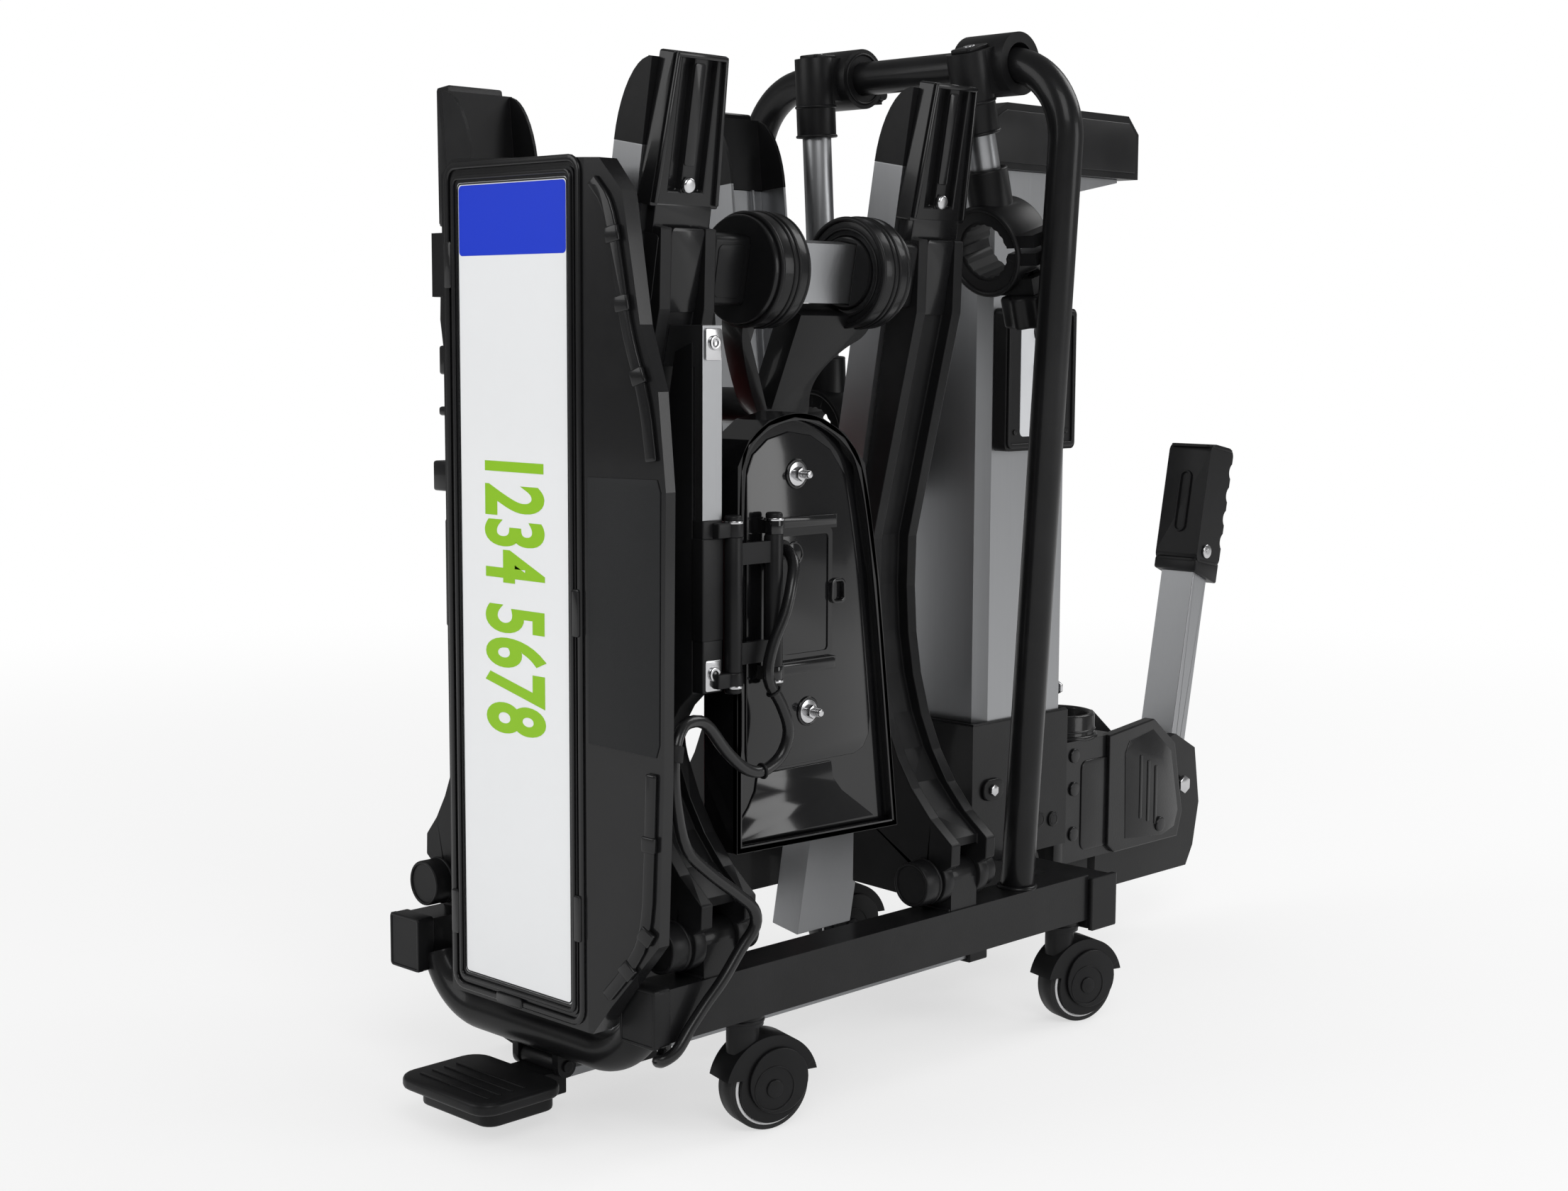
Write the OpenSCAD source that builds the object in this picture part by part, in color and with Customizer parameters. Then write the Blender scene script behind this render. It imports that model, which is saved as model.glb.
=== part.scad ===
// Folded two-bike carrier with an electric lift column, standing on its four castors.
// X runs across the vehicle, +Y towards the coupling, +Z up, floor at Z = 0.

/* [Platform] */
// Distance between the outer faces of the two side rails
frame_w = 275; // [265:5:300]
// Width of a side rail
rail_w = 30; // [28:1:32]
// Height of a side rail
rail_h = 35; // [32:1:38]
// Wall of the rails and the cross tube
rail_wall = 2.5; // [1.5:0.5:4]
// Height of the rails' underside over the floor
rail_z = 80; // [78:1:86]
// Rear end of the side rails, measured from the number plate's face
rail_y0 = 24; // [24:1:28]
// Distance from the hoop's middle to the front cross tube
front_gap = 68; // [66:1:72]
// Depth of the front cross tube along Y
cross_d = 30; // [28:1:34]
// Height of the front cross tube
cross_h = 38; // [36:1:40]
// Diameter of the round rear bow
bow_d = 28; // [22:1:30]
// Bend radius of the bow
bow_bend = 50; // [46:1:54]
// Diameter of the round hoop tube
hoop_d = 25; // [22:1:28]
// Distance from the front arm's middle to the hoop's middle
hoop_gap = 78; // [74:1:82]
// Height of the hoop's top bar at its centre
hoop_z = 718.5; // [710:0.5:726]
// Bend radius of the hoop's corners
hoop_bend = 55; // [45:1:65]

/* [Castors] */
// Wheel diameter
wheel_d = 60; // [54:1:61]
// Wheel width
wheel_w = 18; // [14:1:20]
// How far the wheel trails behind its swivel axis
trail = 16; // [12:1:18]
// Direction in which the wheels trail, from +X towards +Y
castor_turn = 75; // [60:5:90]
// Diameter of the swivel stem
stem_d = 11; // [8:1:12]
// Diameter of the wheel's axle
axle_d = 8; // [6:0.5:10]

/* [Wings] */
// Height of a wing's hinge over its side rail
hinge_up = 22; // [22:0.5:24]
// Diameter of a wing's hinge bolt
hinge_d = 10; // [8:1:12]
// Distance between the rear and the front arms
arm_pitch = 243; // [236:1:246]
// Width of an arm along Y
arm_w = 48; // [46:1:50]
// Width of the block under each hinge
block_w = 27; // [24:0.5:28]
// Distance from the rack's middle to the back of the right wheel rail at hinge height
right_gap = 10.5; // [8.5:1:12.5]
// Distance from the rack's middle to the back of the left wheel rail at hinge height
left_gap = 53.5; // [52.5:1:55.5]
// Outward lean of the right wing
lean_right = 9.8; // [9.4:0.1:10.4]
// Outward lean of the left wing
lean_left = 5.6; // [5.2:0.1:6.2]
// Height of a cross tube's section
bar_h = 40; // [36:1:42]
// Thickness of a cross tube's section
bar_t = 16; // [14:0.5:16.5]

/* [Wheel rails] */
// Width of a wheel rail
gutter_w = 58; // [54:1:60]
// Depth of a wheel rail
gutter_d = 27; // [22:1:28]
// Wall of a wheel rail
gutter_wall = 2.5; // [2:0.1:3.5]
// Length of a wheel rail's end cap
rail_cap = 54; // [45:1:60]
// Length of a clamp channel
channel_l = 95; // [85:1:100]
// Height of a clamp channel
channel_t = 13; // [10:0.5:14]

/* [Number plate] */
// Long side of the number plate
plate_l = 520; // [510:1:524]
// Short side of the number plate
plate_s = 110; // [104:1:112]
// Depth of the plate holder
holder_d = 16; // [13:0.5:17]

/* [Lamps] */
// Depth of a lamp's tray
tray_d = 24; // [18:1:26]
// Wall of a lamp's tray
tray_wall = 2.5; // [2:0.5:4]
// Length between the two pins of a lamp's link
link_l = 37; // [36:0.5:38]
// Diameter of the lamps' hinge pins
pin_d = 6; // [5:0.5:7]

/* [Lift column] */
// Width of the column across X
col_w = 90; // [84:1:92]
// Depth of the column along Y
col_d = 108; // [100:1:110]
// Chamfer of the column's corners
col_chamfer = 9; // [5:1:12]
// Wall of the column
col_wall = 4; // [3:0.5:6]
// Height of the head
head_h = 50; // [44:1:54]
// Diameter of the panel's push buttons
button_d = 19; // [14:0.5:20]
// Pitch of the push buttons
button_pitch = 28; // [25:0.5:30]
// Diameter of the lead screw
screw_d = 14; // [10:1:18]
// Travel of the lift
lift = 360; // [330:5:362]

/* [Coupling] */
// Diameter of the tow ball
ball_d = 50; // [49:0.5:51]
// Outer diameter of the plug cup
cup_d = 66; // [62:1:67]
// Bore of the plug cup
cup_bore = 54; // [48:1:56]
// Distance between the outer faces of the coupling's cheeks
cheek_w = 76; // [72:1:80]
// Length of the lever's bar
lever_l = 195; // [185:1:205]

/* [Frame holders] */
// Diameter of the holders' tubes
tube_d = 22; // [18:1:24]
// Bore of a holder's jaw
jaw_bore = 44; // [38:1:48]

/* [Pedal] */
// Width of the pedal
pedal_w = 100; // [90:1:110]
// Thickness of the pedal
pedal_t = 20; // [16:1:20]

/* [Hidden] */
$fn = 48;
run_gap = 0.06;
side_gap = 0.3;
slide_gap = 0.5;
over = 1;
// Place of the object's own centre in the numbers below
centre_x = 0;
centre_y = 390.34;

// Shape helpers
module xz(y0, y1) { translate([0, y1, 0]) rotate([90, 0, 0]) linear_extrude(y1 - y0) children(); }
module yz(x0, x1) { translate([x0, 0, 0]) rotate([90, 0, 90]) linear_extrude(x1 - x0) children(); }
module xy(z0, z1) { translate([0, 0, z0]) linear_extrude(z1 - z0) children(); }
module rod_x(y, z, x0, x1, r) { translate([x0, y, z]) rotate([0, 90, 0]) cylinder(h = x1 - x0, r = r); }
module rod_y(x, z, y0, y1, r) { translate([x, y1, z]) rotate([90, 0, 0]) cylinder(h = y1 - y0, r = r); }
module rod_z(x, y, z0, z1, r) { translate([x, y, z0]) cylinder(h = z1 - z0, r = r); }
module box(a, b) { translate(a) cube([b[0] - a[0], b[1] - a[1], b[2] - a[2]]); }
module rod(a, b, r) {
  d = b - a;
  translate(a) rotate([0, acos(d[2] / norm(d)), atan2(d[1], d[0])]) cylinder(h = norm(d), r = r);
}
module round_box(a, b, r) {
  translate([a[0] + r, a[1]]) square([b[0] - a[0] - 2 * r, b[1] - a[1]]);
  translate([a[0], a[1] + r]) square([b[0] - a[0], b[1] - a[1] - 2 * r]);
  for (x = [a[0] + r, b[0] - r], y = [a[1] + r, b[1] - r]) translate([x, y]) circle(r);
}
function bezier(a, b, c, n) = [for (i = [0 : n]) let (s = i / n) (1 - s) * (1 - s) * a + 2 * s * (1 - s) * b + s * s * c];
function arc(c, r, a0, a1, n) = [for (i = [0 : n]) let (a = a0 + (a1 - a0) * i / n) c + r * [cos(a), sin(a)]];
module place() { translate([-centre_x, -centre_y, 0]) children(); }
module both() {
  children();
  mirror([1, 0, 0]) children();
}

// Platform: rails, cross tube, bow, hinge blocks and lugs are one weldment
rail_x = frame_w / 2 - rail_w / 2;
base_right = rail_x - right_gap;
base_left = rail_x - left_gap;
arm_y0 = rail_y0 + 55;
arm_y1 = arm_y0 + arm_pitch;
hoop_y = arm_y1 + hoop_gap;
rail_y1 = hoop_y + front_gap;
rail_top = rail_z + rail_h;
hinge_z = rail_top + hinge_up;
cross_drop = 7;
cross_z = rail_z - cross_drop;
cross_top = cross_z + cross_h;
cross_y1 = rail_y1 + cross_d;
cap_t = 4;
cap_lip = 1.5;
bow_y = rail_y0 + bow_d / 2 + 4;
bow_z = rail_z - 22;
bow_flat = rail_x - rail_w / 2 - bow_bend + 3;
bow_turn = 70;
block_l = 28;
rib_w = (arm_w - block_l) / 2 - side_gap;
block_r = block_w / 2;
castor_y0 = 113;
castor_y1 = rail_y1 - 15;
stem_r = stem_d / 2;
flange_r = 14;
socket_r = 10;
socket_h = 18;
tilt_y = cross_y1 + 17;
tilt_z = cross_top - 11;
lug_r = 14;
lug_x = 30;
lug_w = 12;
tilt_pin_r = 6;
strip_y = 110;
plug_l = 3.5;
strip_l = 22;
strip_t = 4;
bar_w2 = 15;
bar_z = 24;
bar_thick = 6;
guide_t = 3;
pivot_y = bow_y + 3;
pivot_z = bow_z - 22;
pedal_pin_r = 4;
hang_x = 18;
hang_w = 6;
hang_r = 8;

module rail_tube() {
  difference() {
    box([rail_x - rail_w / 2, rail_y0, rail_z], [rail_x + rail_w / 2, rail_y1, rail_top]);
    box([rail_x - rail_w / 2 + rail_wall, rail_y0 - over, rail_z + rail_wall],
      [rail_x + rail_w / 2 - rail_wall, rail_y1 - rail_wall, rail_top - rail_wall]);
    for (y = [castor_y0, castor_y1]) rod_z(rail_x, y, rail_z - over, rail_z + socket_h, stem_r + run_gap);
  }
  for (y = [castor_y0, castor_y1]) difference() {
    rod_z(rail_x, y, rail_z + rail_wall, rail_z + socket_h, socket_r);
    rod_z(rail_x, y, rail_z, rail_z + socket_h + over, stem_r + run_gap);
  }
  for (y = [arm_y0, arm_y1]) xz(y - block_l / 2, y + block_l / 2) difference() {
    union() {
      translate([rail_x - block_r, rail_top]) square([2 * block_r, hinge_up]);
      translate([rail_x, hinge_z]) circle(block_r);
    }
    translate([rail_x, hinge_z]) circle(hinge_d / 2 + run_gap);
  }
}
module bow_half() {
  rod_x(bow_y, bow_z, 0, bow_flat, bow_d / 2);
  translate([bow_flat, bow_y, bow_z + bow_bend]) rotate([90, 0, 0]) rotate([0, 0, -90])
    rotate_extrude(angle = bow_turn) translate([bow_bend, 0]) circle(bow_d / 2);
}
module platform_frame() color([0.05, 0.05, 0.055]) {
  difference() {
    union() {
      both() rail_tube();
      difference() {
        box([-frame_w / 2, rail_y1, cross_z], [frame_w / 2, cross_y1, cross_top]);
        box([-frame_w / 2 - over, rail_y1 + rail_wall, cross_z + rail_wall],
          [frame_w / 2 + over, cross_y1 - rail_wall, cross_top - rail_wall]);
      }
      // The weld that joins each rail's end to the cross tube
      both() box([rail_x - rail_w / 2 + over, rail_y1 - over, rail_z + over],
        [rail_x + rail_w / 2 - over, rail_y1 + over, cross_top - over]);
      both() bow_half();
      both() yz(lug_x, lug_x + lug_w) {
        translate([tilt_y, tilt_z]) circle(lug_r);
        translate([cross_y1 - over, tilt_z - lug_r]) square([tilt_y - cross_y1 + over, 2 * lug_r - 4]);
      }
      both() yz(hang_x, hang_x + hang_w) {
        translate([pivot_y, pivot_z]) circle(hang_r);
        translate([pivot_y - hang_r, pivot_z]) square([2 * hang_r, bow_z - pivot_z]);
      }
    }
    rod_x(tilt_y, tilt_z, -lug_x - lug_w - over, lug_x + lug_w + over, tilt_pin_r + run_gap);
    rod_x(pivot_y, pivot_z, -hang_x - hang_w - over, hang_x + hang_w + over, pedal_pin_r + run_gap);
  }
}

// Strip between the rails and the two guides that carry the release bar
module guide(y, top) difference() {
  box([-bar_w2 - guide_t - side_gap, y, bar_z - guide_t - side_gap], [bar_w2 + guide_t + side_gap, y + strip_l, top]);
  box([-bar_w2 - side_gap, y - over, bar_z - side_gap], [bar_w2 + side_gap, y + strip_l + over, top + over]);
}
module bar_guides() color([0.05, 0.05, 0.055]) {
  box([-rail_x + rail_w / 2, strip_y, rail_z], [rail_x - rail_w / 2, strip_y + strip_l, rail_z + strip_t]);
  guide(strip_y, rail_z + strip_t / 2);
  guide(cross_y1 - strip_l - cap_t, cross_z);
}

hoop_lean = 3.4;
hoop_cz = hoop_z - hoop_bend;
hoop_ez = hoop_cz - hoop_bend * sin(hoop_lean);
hoop_ex = rail_x + (hoop_ez - rail_top) * tan(hoop_lean);
hoop_cx = hoop_ex - hoop_bend * cos(hoop_lean);
module hoop() color([0.05, 0.05, 0.055]) both() {
  r = hoop_d / 2;
  difference() {
    rod([rail_x - over * tan(hoop_lean), hoop_y, rail_top - over], [hoop_ex, hoop_y, hoop_ez], r);
    box([rail_x - hoop_d, hoop_y - hoop_d, rail_top - hoop_d], [rail_x + hoop_d, hoop_y + hoop_d, rail_top]);
  }
  translate([hoop_cx, hoop_y, hoop_cz]) rotate([90, 0, 0]) rotate([0, 0, -hoop_lean])
    rotate_extrude(angle = 90 + hoop_lean) translate([hoop_bend, 0]) circle(r);
  rod_x(hoop_y, hoop_z, 0, hoop_cx, r);
}

module rail_end_caps() color([0.07, 0.07, 0.075]) both() {
  box([rail_x - rail_w / 2 - cap_lip, rail_y0 - cap_t, rail_z - cap_lip],
    [rail_x + rail_w / 2 + cap_lip, rail_y0, rail_top + cap_lip]);
  box([rail_x - rail_w / 2 + rail_wall, rail_y0, rail_z + rail_wall],
    [rail_x + rail_w / 2 - rail_wall, rail_y0 + plug_l, rail_top - rail_wall]);
  box([frame_w / 2, rail_y1, cross_z - cap_lip],
    [frame_w / 2 + cap_t, cross_y1 + cap_lip, cross_top + cap_lip]);
  box([frame_w / 2 - 2 * cap_t, rail_y1 + rail_wall, cross_z + rail_wall],
    [frame_w / 2, cross_y1 - rail_wall, cross_top - rail_wall]);
}

bolt_cap_r = 16;
bolt_cap_l = 14;
bolt_neck_r = 10;
bolt_nut_r = 13;
bolt_nut_l = 12;
module hinge_bolts() color([0.06, 0.06, 0.065]) both() for (y = [arm_y0, arm_y1]) {
  y0 = y - arm_w / 2 - side_gap;
  y1 = y + arm_w / 2 + side_gap;
  rod_y(rail_x, hinge_z, y0 - bolt_cap_l - 3, y1 + bolt_nut_l, hinge_d / 2);
  rod_y(rail_x, hinge_z, y0 - 3, y0, bolt_neck_r);
  rod_y(rail_x, hinge_z, y0 - bolt_cap_l - 3, y0 - 3, bolt_cap_r);
  rod_y(rail_x, hinge_z, y1, y1 + bolt_nut_l, bolt_nut_r);
}

// Castors
shell_in = wheel_d / 2 + 2;
shell_out = wheel_d / 2 + 5;
shell_w = wheel_w / 2 + slide_gap;
shell_t = 3;
hub_r = 24;
module castor_at(side, y) { translate([side * rail_x, y, 0]) rotate([0, 0, castor_turn]) children(); }
module castor_fork() color([0.05, 0.05, 0.055]) {
  rod_z(0, 0, rail_z - side_gap - 3, rail_z + socket_h, stem_r);
  rod_z(0, 0, rail_z - side_gap - 7, rail_z - side_gap, flange_r);
  difference() {
    rod_z(0, 0, wheel_d - 6, rail_z - side_gap - 6, flange_r - 3);
    rod_y(trail, wheel_d / 2, -shell_w, shell_w, shell_in);
  }
  intersection() {
    difference() {
      rod_y(trail, wheel_d / 2, -shell_w - shell_t, shell_w + shell_t, shell_out);
      rod_y(trail, wheel_d / 2, -shell_w, shell_w, shell_in);
    }
    union() {
      box([trail - shell_out, -wheel_d, wheel_d / 2 + 8], [trail + shell_out, wheel_d, wheel_d + shell_out]);
      rod_y(trail, wheel_d / 2, -wheel_d, wheel_d, hub_r);
    }
  }
  rod_y(trail, wheel_d / 2, -shell_w - 1, shell_w + 1, axle_d / 2);
}
module castor_wheel() color([0.1, 0.1, 0.1]) xz_ring(trail, wheel_d / 2, wheel_w, wheel_d / 2, axle_d / 2 + run_gap);
module xz_ring(x, z, w, r1, r0) {
  crown = 2;
  translate([x, 0, z]) rotate([90, 0, 0]) rotate_extrude() polygon([[r0, -w / 2], [r1 - crown, -w / 2],
    [r1, -w / 2 + crown], [r1, w / 2 - crown], [r1 - crown, w / 2], [r0, w / 2]]);
}
module castor_fork_rear_right() castor_at(1, castor_y0) castor_fork();
module castor_fork_rear_left() castor_at(-1, castor_y0) castor_fork();
module castor_fork_front_right() castor_at(1, castor_y1) castor_fork();
module castor_fork_front_left() castor_at(-1, castor_y1) castor_fork();
module castor_wheel_rear_right() castor_at(1, castor_y0) castor_wheel();
module castor_wheel_rear_left() castor_at(-1, castor_y0) castor_wheel();
module castor_wheel_front_right() castor_at(1, castor_y1) castor_wheel();
module castor_wheel_front_left() castor_at(-1, castor_y1) castor_wheel();

// Wings, each drawn round its hinge axis: X away from the platform's middle, Z along the wheel rail
module wing(side, lean) {
  mirror([side < 0 ? 1 : 0, 0, 0]) translate([rail_x, 0, hinge_z]) rotate([0, lean, 0]) children();
}
module right() { wing(1, lean_right) children(); }
module left() { wing(-1, lean_left) children(); }
arm_top = 444;
bend_t = 394;
waist_t = 228;
foot_t = 32;
foot_n = 19;
waist_thick = 16;
bend_thick = 27;
top_thick = 20;
rib_rise = 9;
clear_r = 27.5;
ear_r = 17;
bar_t0 = 398;
bar_in = 2.5;
gutter_low_right = -83;
gutter_low_left = 60;
gutter_high = 492;
channel_low = 456;
module arm_profile(base) {
  o = bezier([foot_n - 2, foot_t], [-base + foot_t, 75], [-base + waist_thick, waist_t], 8);
  i = bezier([-base, 190], [-base, 100], [-base + 33, 30], 6);
  polygon(concat([[foot_n, ear_r]], o, [[-base + bend_thick, bend_t], [-base + top_thick, arm_top], [-base, arm_top]],
    i, [[-base + 42, -25], [-20, -ear_r - 1]]));
}
module web_profile(base) {
  difference() {
    intersection() {
      arm_profile(base);
      translate([-rib_rise, 0]) arm_profile(base);
    }
    circle(clear_r);
  }
}
module bar_hole(base, gap) {
  translate([-base + bar_in - gap, bar_t0 - gap]) square([bar_t + 2 * gap, bar_h + 2 * gap]);
}
module arm(base, y) {
  h = arm_w / 2;
  for (s = [[-h, -h + rib_w], [h - rib_w, h]]) xz(y + s[0], y + s[1]) difference() {
    union() {
      arm_profile(base);
      circle(ear_r);
    }
    circle(hinge_d / 2 + run_gap);
    bar_hole(base, 0);
  }
  xz(y - h + rib_w, y + h - rib_w) difference() {
    web_profile(base);
    bar_hole(base, 0);
  }
}
module arms(base) color([0.045, 0.045, 0.05]) for (y = [arm_y0, arm_y1]) arm(base, y);
module gutter(base, low) color([0.78, 0.79, 0.8]) for (y = [arm_y0, arm_y1]) {
  h = gutter_w / 2;
  box([-base - gutter_wall, y - h, low], [-base, y + h, gutter_high]);
  for (s = [-1, 1]) box([-base - gutter_d, y + s * (h - gutter_wall / 2) - gutter_wall / 2, low],
    [-base - gutter_wall, y + s * (h - gutter_wall / 2) + gutter_wall / 2, gutter_high]);
  for (s = [-1, 1]) box([-base - gutter_wall - 4, y + s * h / 2 - gutter_wall / 2, low],
    [-base - gutter_wall, y + s * h / 2 + gutter_wall / 2, gutter_high]);
}
module rail_caps(base) color([0.05, 0.05, 0.055]) for (y = [arm_y0, arm_y1]) {
  h = gutter_w / 2;
  top = gutter_high + rail_cap;
  box([-base - gutter_wall - 1, y - h, gutter_high], [-base, y + h, top]);
  for (s = [-1, 1]) xz(y + s * (h - gutter_wall / 2) - gutter_wall / 2, y + s * (h - gutter_wall / 2) + gutter_wall / 2)
    intersection() {
      translate([-base - gutter_d, gutter_high]) square([gutter_d, rail_cap]);
      translate([-base, gutter_high]) scale_to(gutter_d, rail_cap);
    }
}
module scale_to(a, b) {
  polygon(concat([[0, 0]], [for (i = [0 : 10]) let (t = 90 + 9 * i) [a * cos(t), b * sin(t)]]));
}
module channels(base) color([0.06, 0.06, 0.065]) for (y = [arm_y0, arm_y1]) {
  h = gutter_w / 2;
  taper = 6;
  groove = 5;
  top = channel_low + channel_l;
  difference() {
    translate([-base, y, 0]) yz(0, channel_t)
      polygon([[-h, channel_low], [h, channel_low], [h - taper, top], [-h + taper, top]]);
    for (s = [-1, 1]) box([-base + channel_t - groove, y + s * h / 3 - groove, channel_low + 2 * groove],
      [-base + channel_t + over, y + s * h / 3 + groove, top + over]);
  }
}

// Wing tubes, with the lamps' struts
lamp_back = rail_x - 7;
strut_y = arm_y0 + 4;
strut_w = 17;
strut_t = 8;
strut_low = 300;
strut_high = 530;
pin_x = lamp_back + 12;
pin_y1 = strut_y + strut_w / 2 + 7;
pin_y2 = pin_y1 + link_l;
pin_r = pin_d / 2;
knuckle = 9;
knuckle_r = 6;
knuckle_low = 300;
knuckle_high = 396;
link_low = knuckle_low + knuckle + side_gap;
link_high = knuckle_high - side_gap;
module knuckles(x, y) {
  for (z = [knuckle_low, knuckle_high]) difference() {
    union() {
      rod_z(x, y, z, z + knuckle, knuckle_r);
      children();
    }
  }
}
module strut(base, side, lean) {
  difference() {
    union() {
      box([lamp_back + 1, strut_y - strut_w / 2, strut_low], [lamp_back + 1 + strut_t, strut_y + strut_w / 2, strut_high]);
      for (z = [knuckle_low, knuckle_high]) {
        rod_z(pin_x, pin_y1, z, z + knuckle, knuckle_r);
        box([lamp_back + 1 + strut_t / 2, strut_y, z], [pin_x + knuckle_r / 2, pin_y1, z + knuckle]);
      }
      box([rail_x - 75 + lean, strut_y - strut_w / 2, strut_high - 26], [lamp_back + 1, strut_y + strut_w / 2, strut_high]);
    }
    rod_z(pin_x, pin_y1, strut_low - over, strut_high, pin_r + run_gap);
    translate([rail_x, 0, hinge_z]) rotate([0, lean, 0]) {
      xz(arm_y0 - arm_w / 2, arm_y0 + arm_w / 2) web_cut(base);
    }
  }
}
module web_cut(base) {
  cut = 200;
  web_profile(base);
  translate([-base - cut, 0]) square([cut + waist_thick / 4, arm_top]);
}
sleeve_r = 24.5;
hub_out = 37.5;
hub_w = 24;
hub_y = [[140, 164], [237, 261]];
tube_mid = [bar_in + bar_t / 2, bar_t0 + bar_h / 2];
module cross_tube(base, y0, y1) color([0.8, 0.81, 0.82]) {
  wall = 2;
  xz(y0, y1) difference() {
    bar_hole(base, 0);
    bar_hole(base, -wall);
  }
}
flange_t = 6;
module yoke_sleeves() color([0.05, 0.05, 0.055]) right() for (h = hub_y) difference() {
  outer = h[0] < yoke_y ? [h[0] - flange_t, h[0]] : [h[1], h[1] + flange_t];
  union() {
    rod_y(-base_right + tube_mid[0], tube_mid[1], outer[0], outer[1], hub_out - 2);
    rod_y(-base_right + tube_mid[0], tube_mid[1], h[0] - over, h[1] + over, sleeve_r);
  }
  xz(h[0] - hub_w, h[1] + hub_w) bar_hole(base_right, 0);
}
module wing_tubes_right() {
  right() cross_tube(base_right, arm_y0 - arm_w / 2, arm_y1 + arm_w / 2);
  color([0.78, 0.79, 0.8]) strut(base_right, 1, lean_right);
}
module wing_tubes_left() {
  left() cross_tube(base_left, arm_y0 - arm_w / 2, arm_y1 + arm_w / 2);
  color([0.78, 0.79, 0.8]) mirror([1, 0, 0]) strut(base_left, -1, lean_left);
}
module arms_right() right() arms(base_right);
module arms_left() left() arms(base_left);
module wheel_rails_right() right() gutter(base_right, gutter_low_right);
module wheel_rails_left() left() gutter(base_left, gutter_low_left);
module wheel_rail_caps_right() right() rail_caps(base_right);
module wheel_rail_caps_left() left() rail_caps(base_left);
module clamp_channels_right() right() channels(base_right);
module clamp_channels_left() left() channels(base_left);

// Number plate and its holder
plate_x0 = -27.5;
plate_x1 = plate_x0 + plate_s;
plate_z0 = 100;
plate_z1 = plate_z0 + plate_l;
plate_t = 1.5;
holder_y1 = 2 + holder_d;
rim = 6;
flank_x = 14;
flank_w = 70;
flank_drop = 9;
bracket_x = -90;
module holder_outline() {
  polygon([[plate_x0 - 16, plate_z0 - 15], [plate_x1 + 18, plate_z0 - 15], [plate_x1 + 34, plate_z0 + 6],
    [plate_x1 + 72, plate_z0 + 50], [plate_x1 + 76, plate_z0 + 150], [plate_x1 + 78, plate_z1 - 190],
    [plate_x1 + 72, plate_z1 - 130], [plate_x1 + 58, plate_z1 - 90], [plate_x1 + 44, plate_z1 - 10],
    [plate_x1 + 26, plate_z1 + 10], [plate_x0 - 6, plate_z1 + 16], [plate_x0 - 18, plate_z1 + 6]]);
}
module plate_holder() color([0.04, 0.04, 0.045]) {
  difference() {
    xz(2, holder_y1) holder_outline();
    xz(2 + holder_d / 2, holder_y1 + over) translate([rim, rim])
      round_box([plate_x0 - 12, plate_z0 - 8], [plate_x1 + 10, plate_z1 - 6], rim);
    box([plate_x0, 0, plate_z0], [plate_x1, 2 + slide_gap, plate_z1]);
    xy(plate_z0 - 4 * rim, plate_z1 + 4 * rim) polygon([[plate_x1 + flank_x, 0], [plate_x1 + flank_x, 2],
      [plate_x1 + flank_x + flank_w, 2 + flank_drop], [plate_x1 + flank_x + flank_w, 0]]);
  }
  xz(0.2, 2) difference() {
    round_box([plate_x0 - rim, plate_z0 - rim], [plate_x1 + rim, plate_z1 + rim], rim);
    round_box([plate_x0, plate_z0], [plate_x1, plate_z1], rim / 2);
  }
  t = rim;
  y1 = arm_y0 - gutter_w / 2;
  xy(strut_high + 3 * rim, strut_high + 10 * rim) polygon([[plate_x0 + t, holder_y1], [bracket_x + 2 * t, holder_y1],
    [bracket_x, holder_y1 + 2 * t], [bracket_x, y1], [bracket_x + 3 * t, y1], [bracket_x + 3 * t, holder_y1 + 3 * t],
    [bracket_x + 5 * t, holder_y1 + t], [plate_x0 + t, holder_y1 + t]]);
}
module number_plate() color([0.93, 0.93, 0.94]) xz(2 + slide_gap - plate_t - 0.1, 2 + slide_gap - 0.1)
  round_box([plate_x0 + 0.2, plate_z0 + 0.2], [plate_x1 - 0.2, plate_z1 - 0.2], rim / 2);

// Lamps, drawn for the right wing
tray_y0 = pin_y1 + 9;
tray_low = 187;
lip_up = 7;
lip_t = 3.5;
module tray_outline(g) {
  polygon([[tray_y0 + g, tray_low + g], [tray_y0 + 157 - g, tray_low - 4 + g], [tray_y0 + 136 - g, tray_low + 170],
    [tray_y0 + 120 - g, tray_low + 251 - g], [tray_y0 + 100, tray_low + 272 - g], [tray_y0 + 75, tray_low + 284 - g],
    [tray_y0 + 52, tray_low + 287 - g], [tray_y0 + 28, tray_low + 282 - g], [tray_y0 + 10, tray_low + 270 - g],
    [tray_y0 + g, tray_low + 253 - g]]);
}
module link_body() {
  rod_z(pin_x, pin_y1, knuckle_low, knuckle_high + knuckle, pin_r);
  rod_z(pin_x, pin_y1, link_low, link_high, knuckle_r);
  rod_z(pin_x, pin_y2, knuckle_low, knuckle_high + knuckle, pin_r);
  rod_z(pin_x, pin_y2, link_low, link_high, knuckle_r);
  box([pin_x - 2.5, pin_y1, link_low + 4], [pin_x + 2.5, pin_y2, link_low + 18]);
  box([pin_x - 2.5, pin_y1, link_high - 18], [pin_x + 2.5, pin_y2, link_high - 4]);
}
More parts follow.
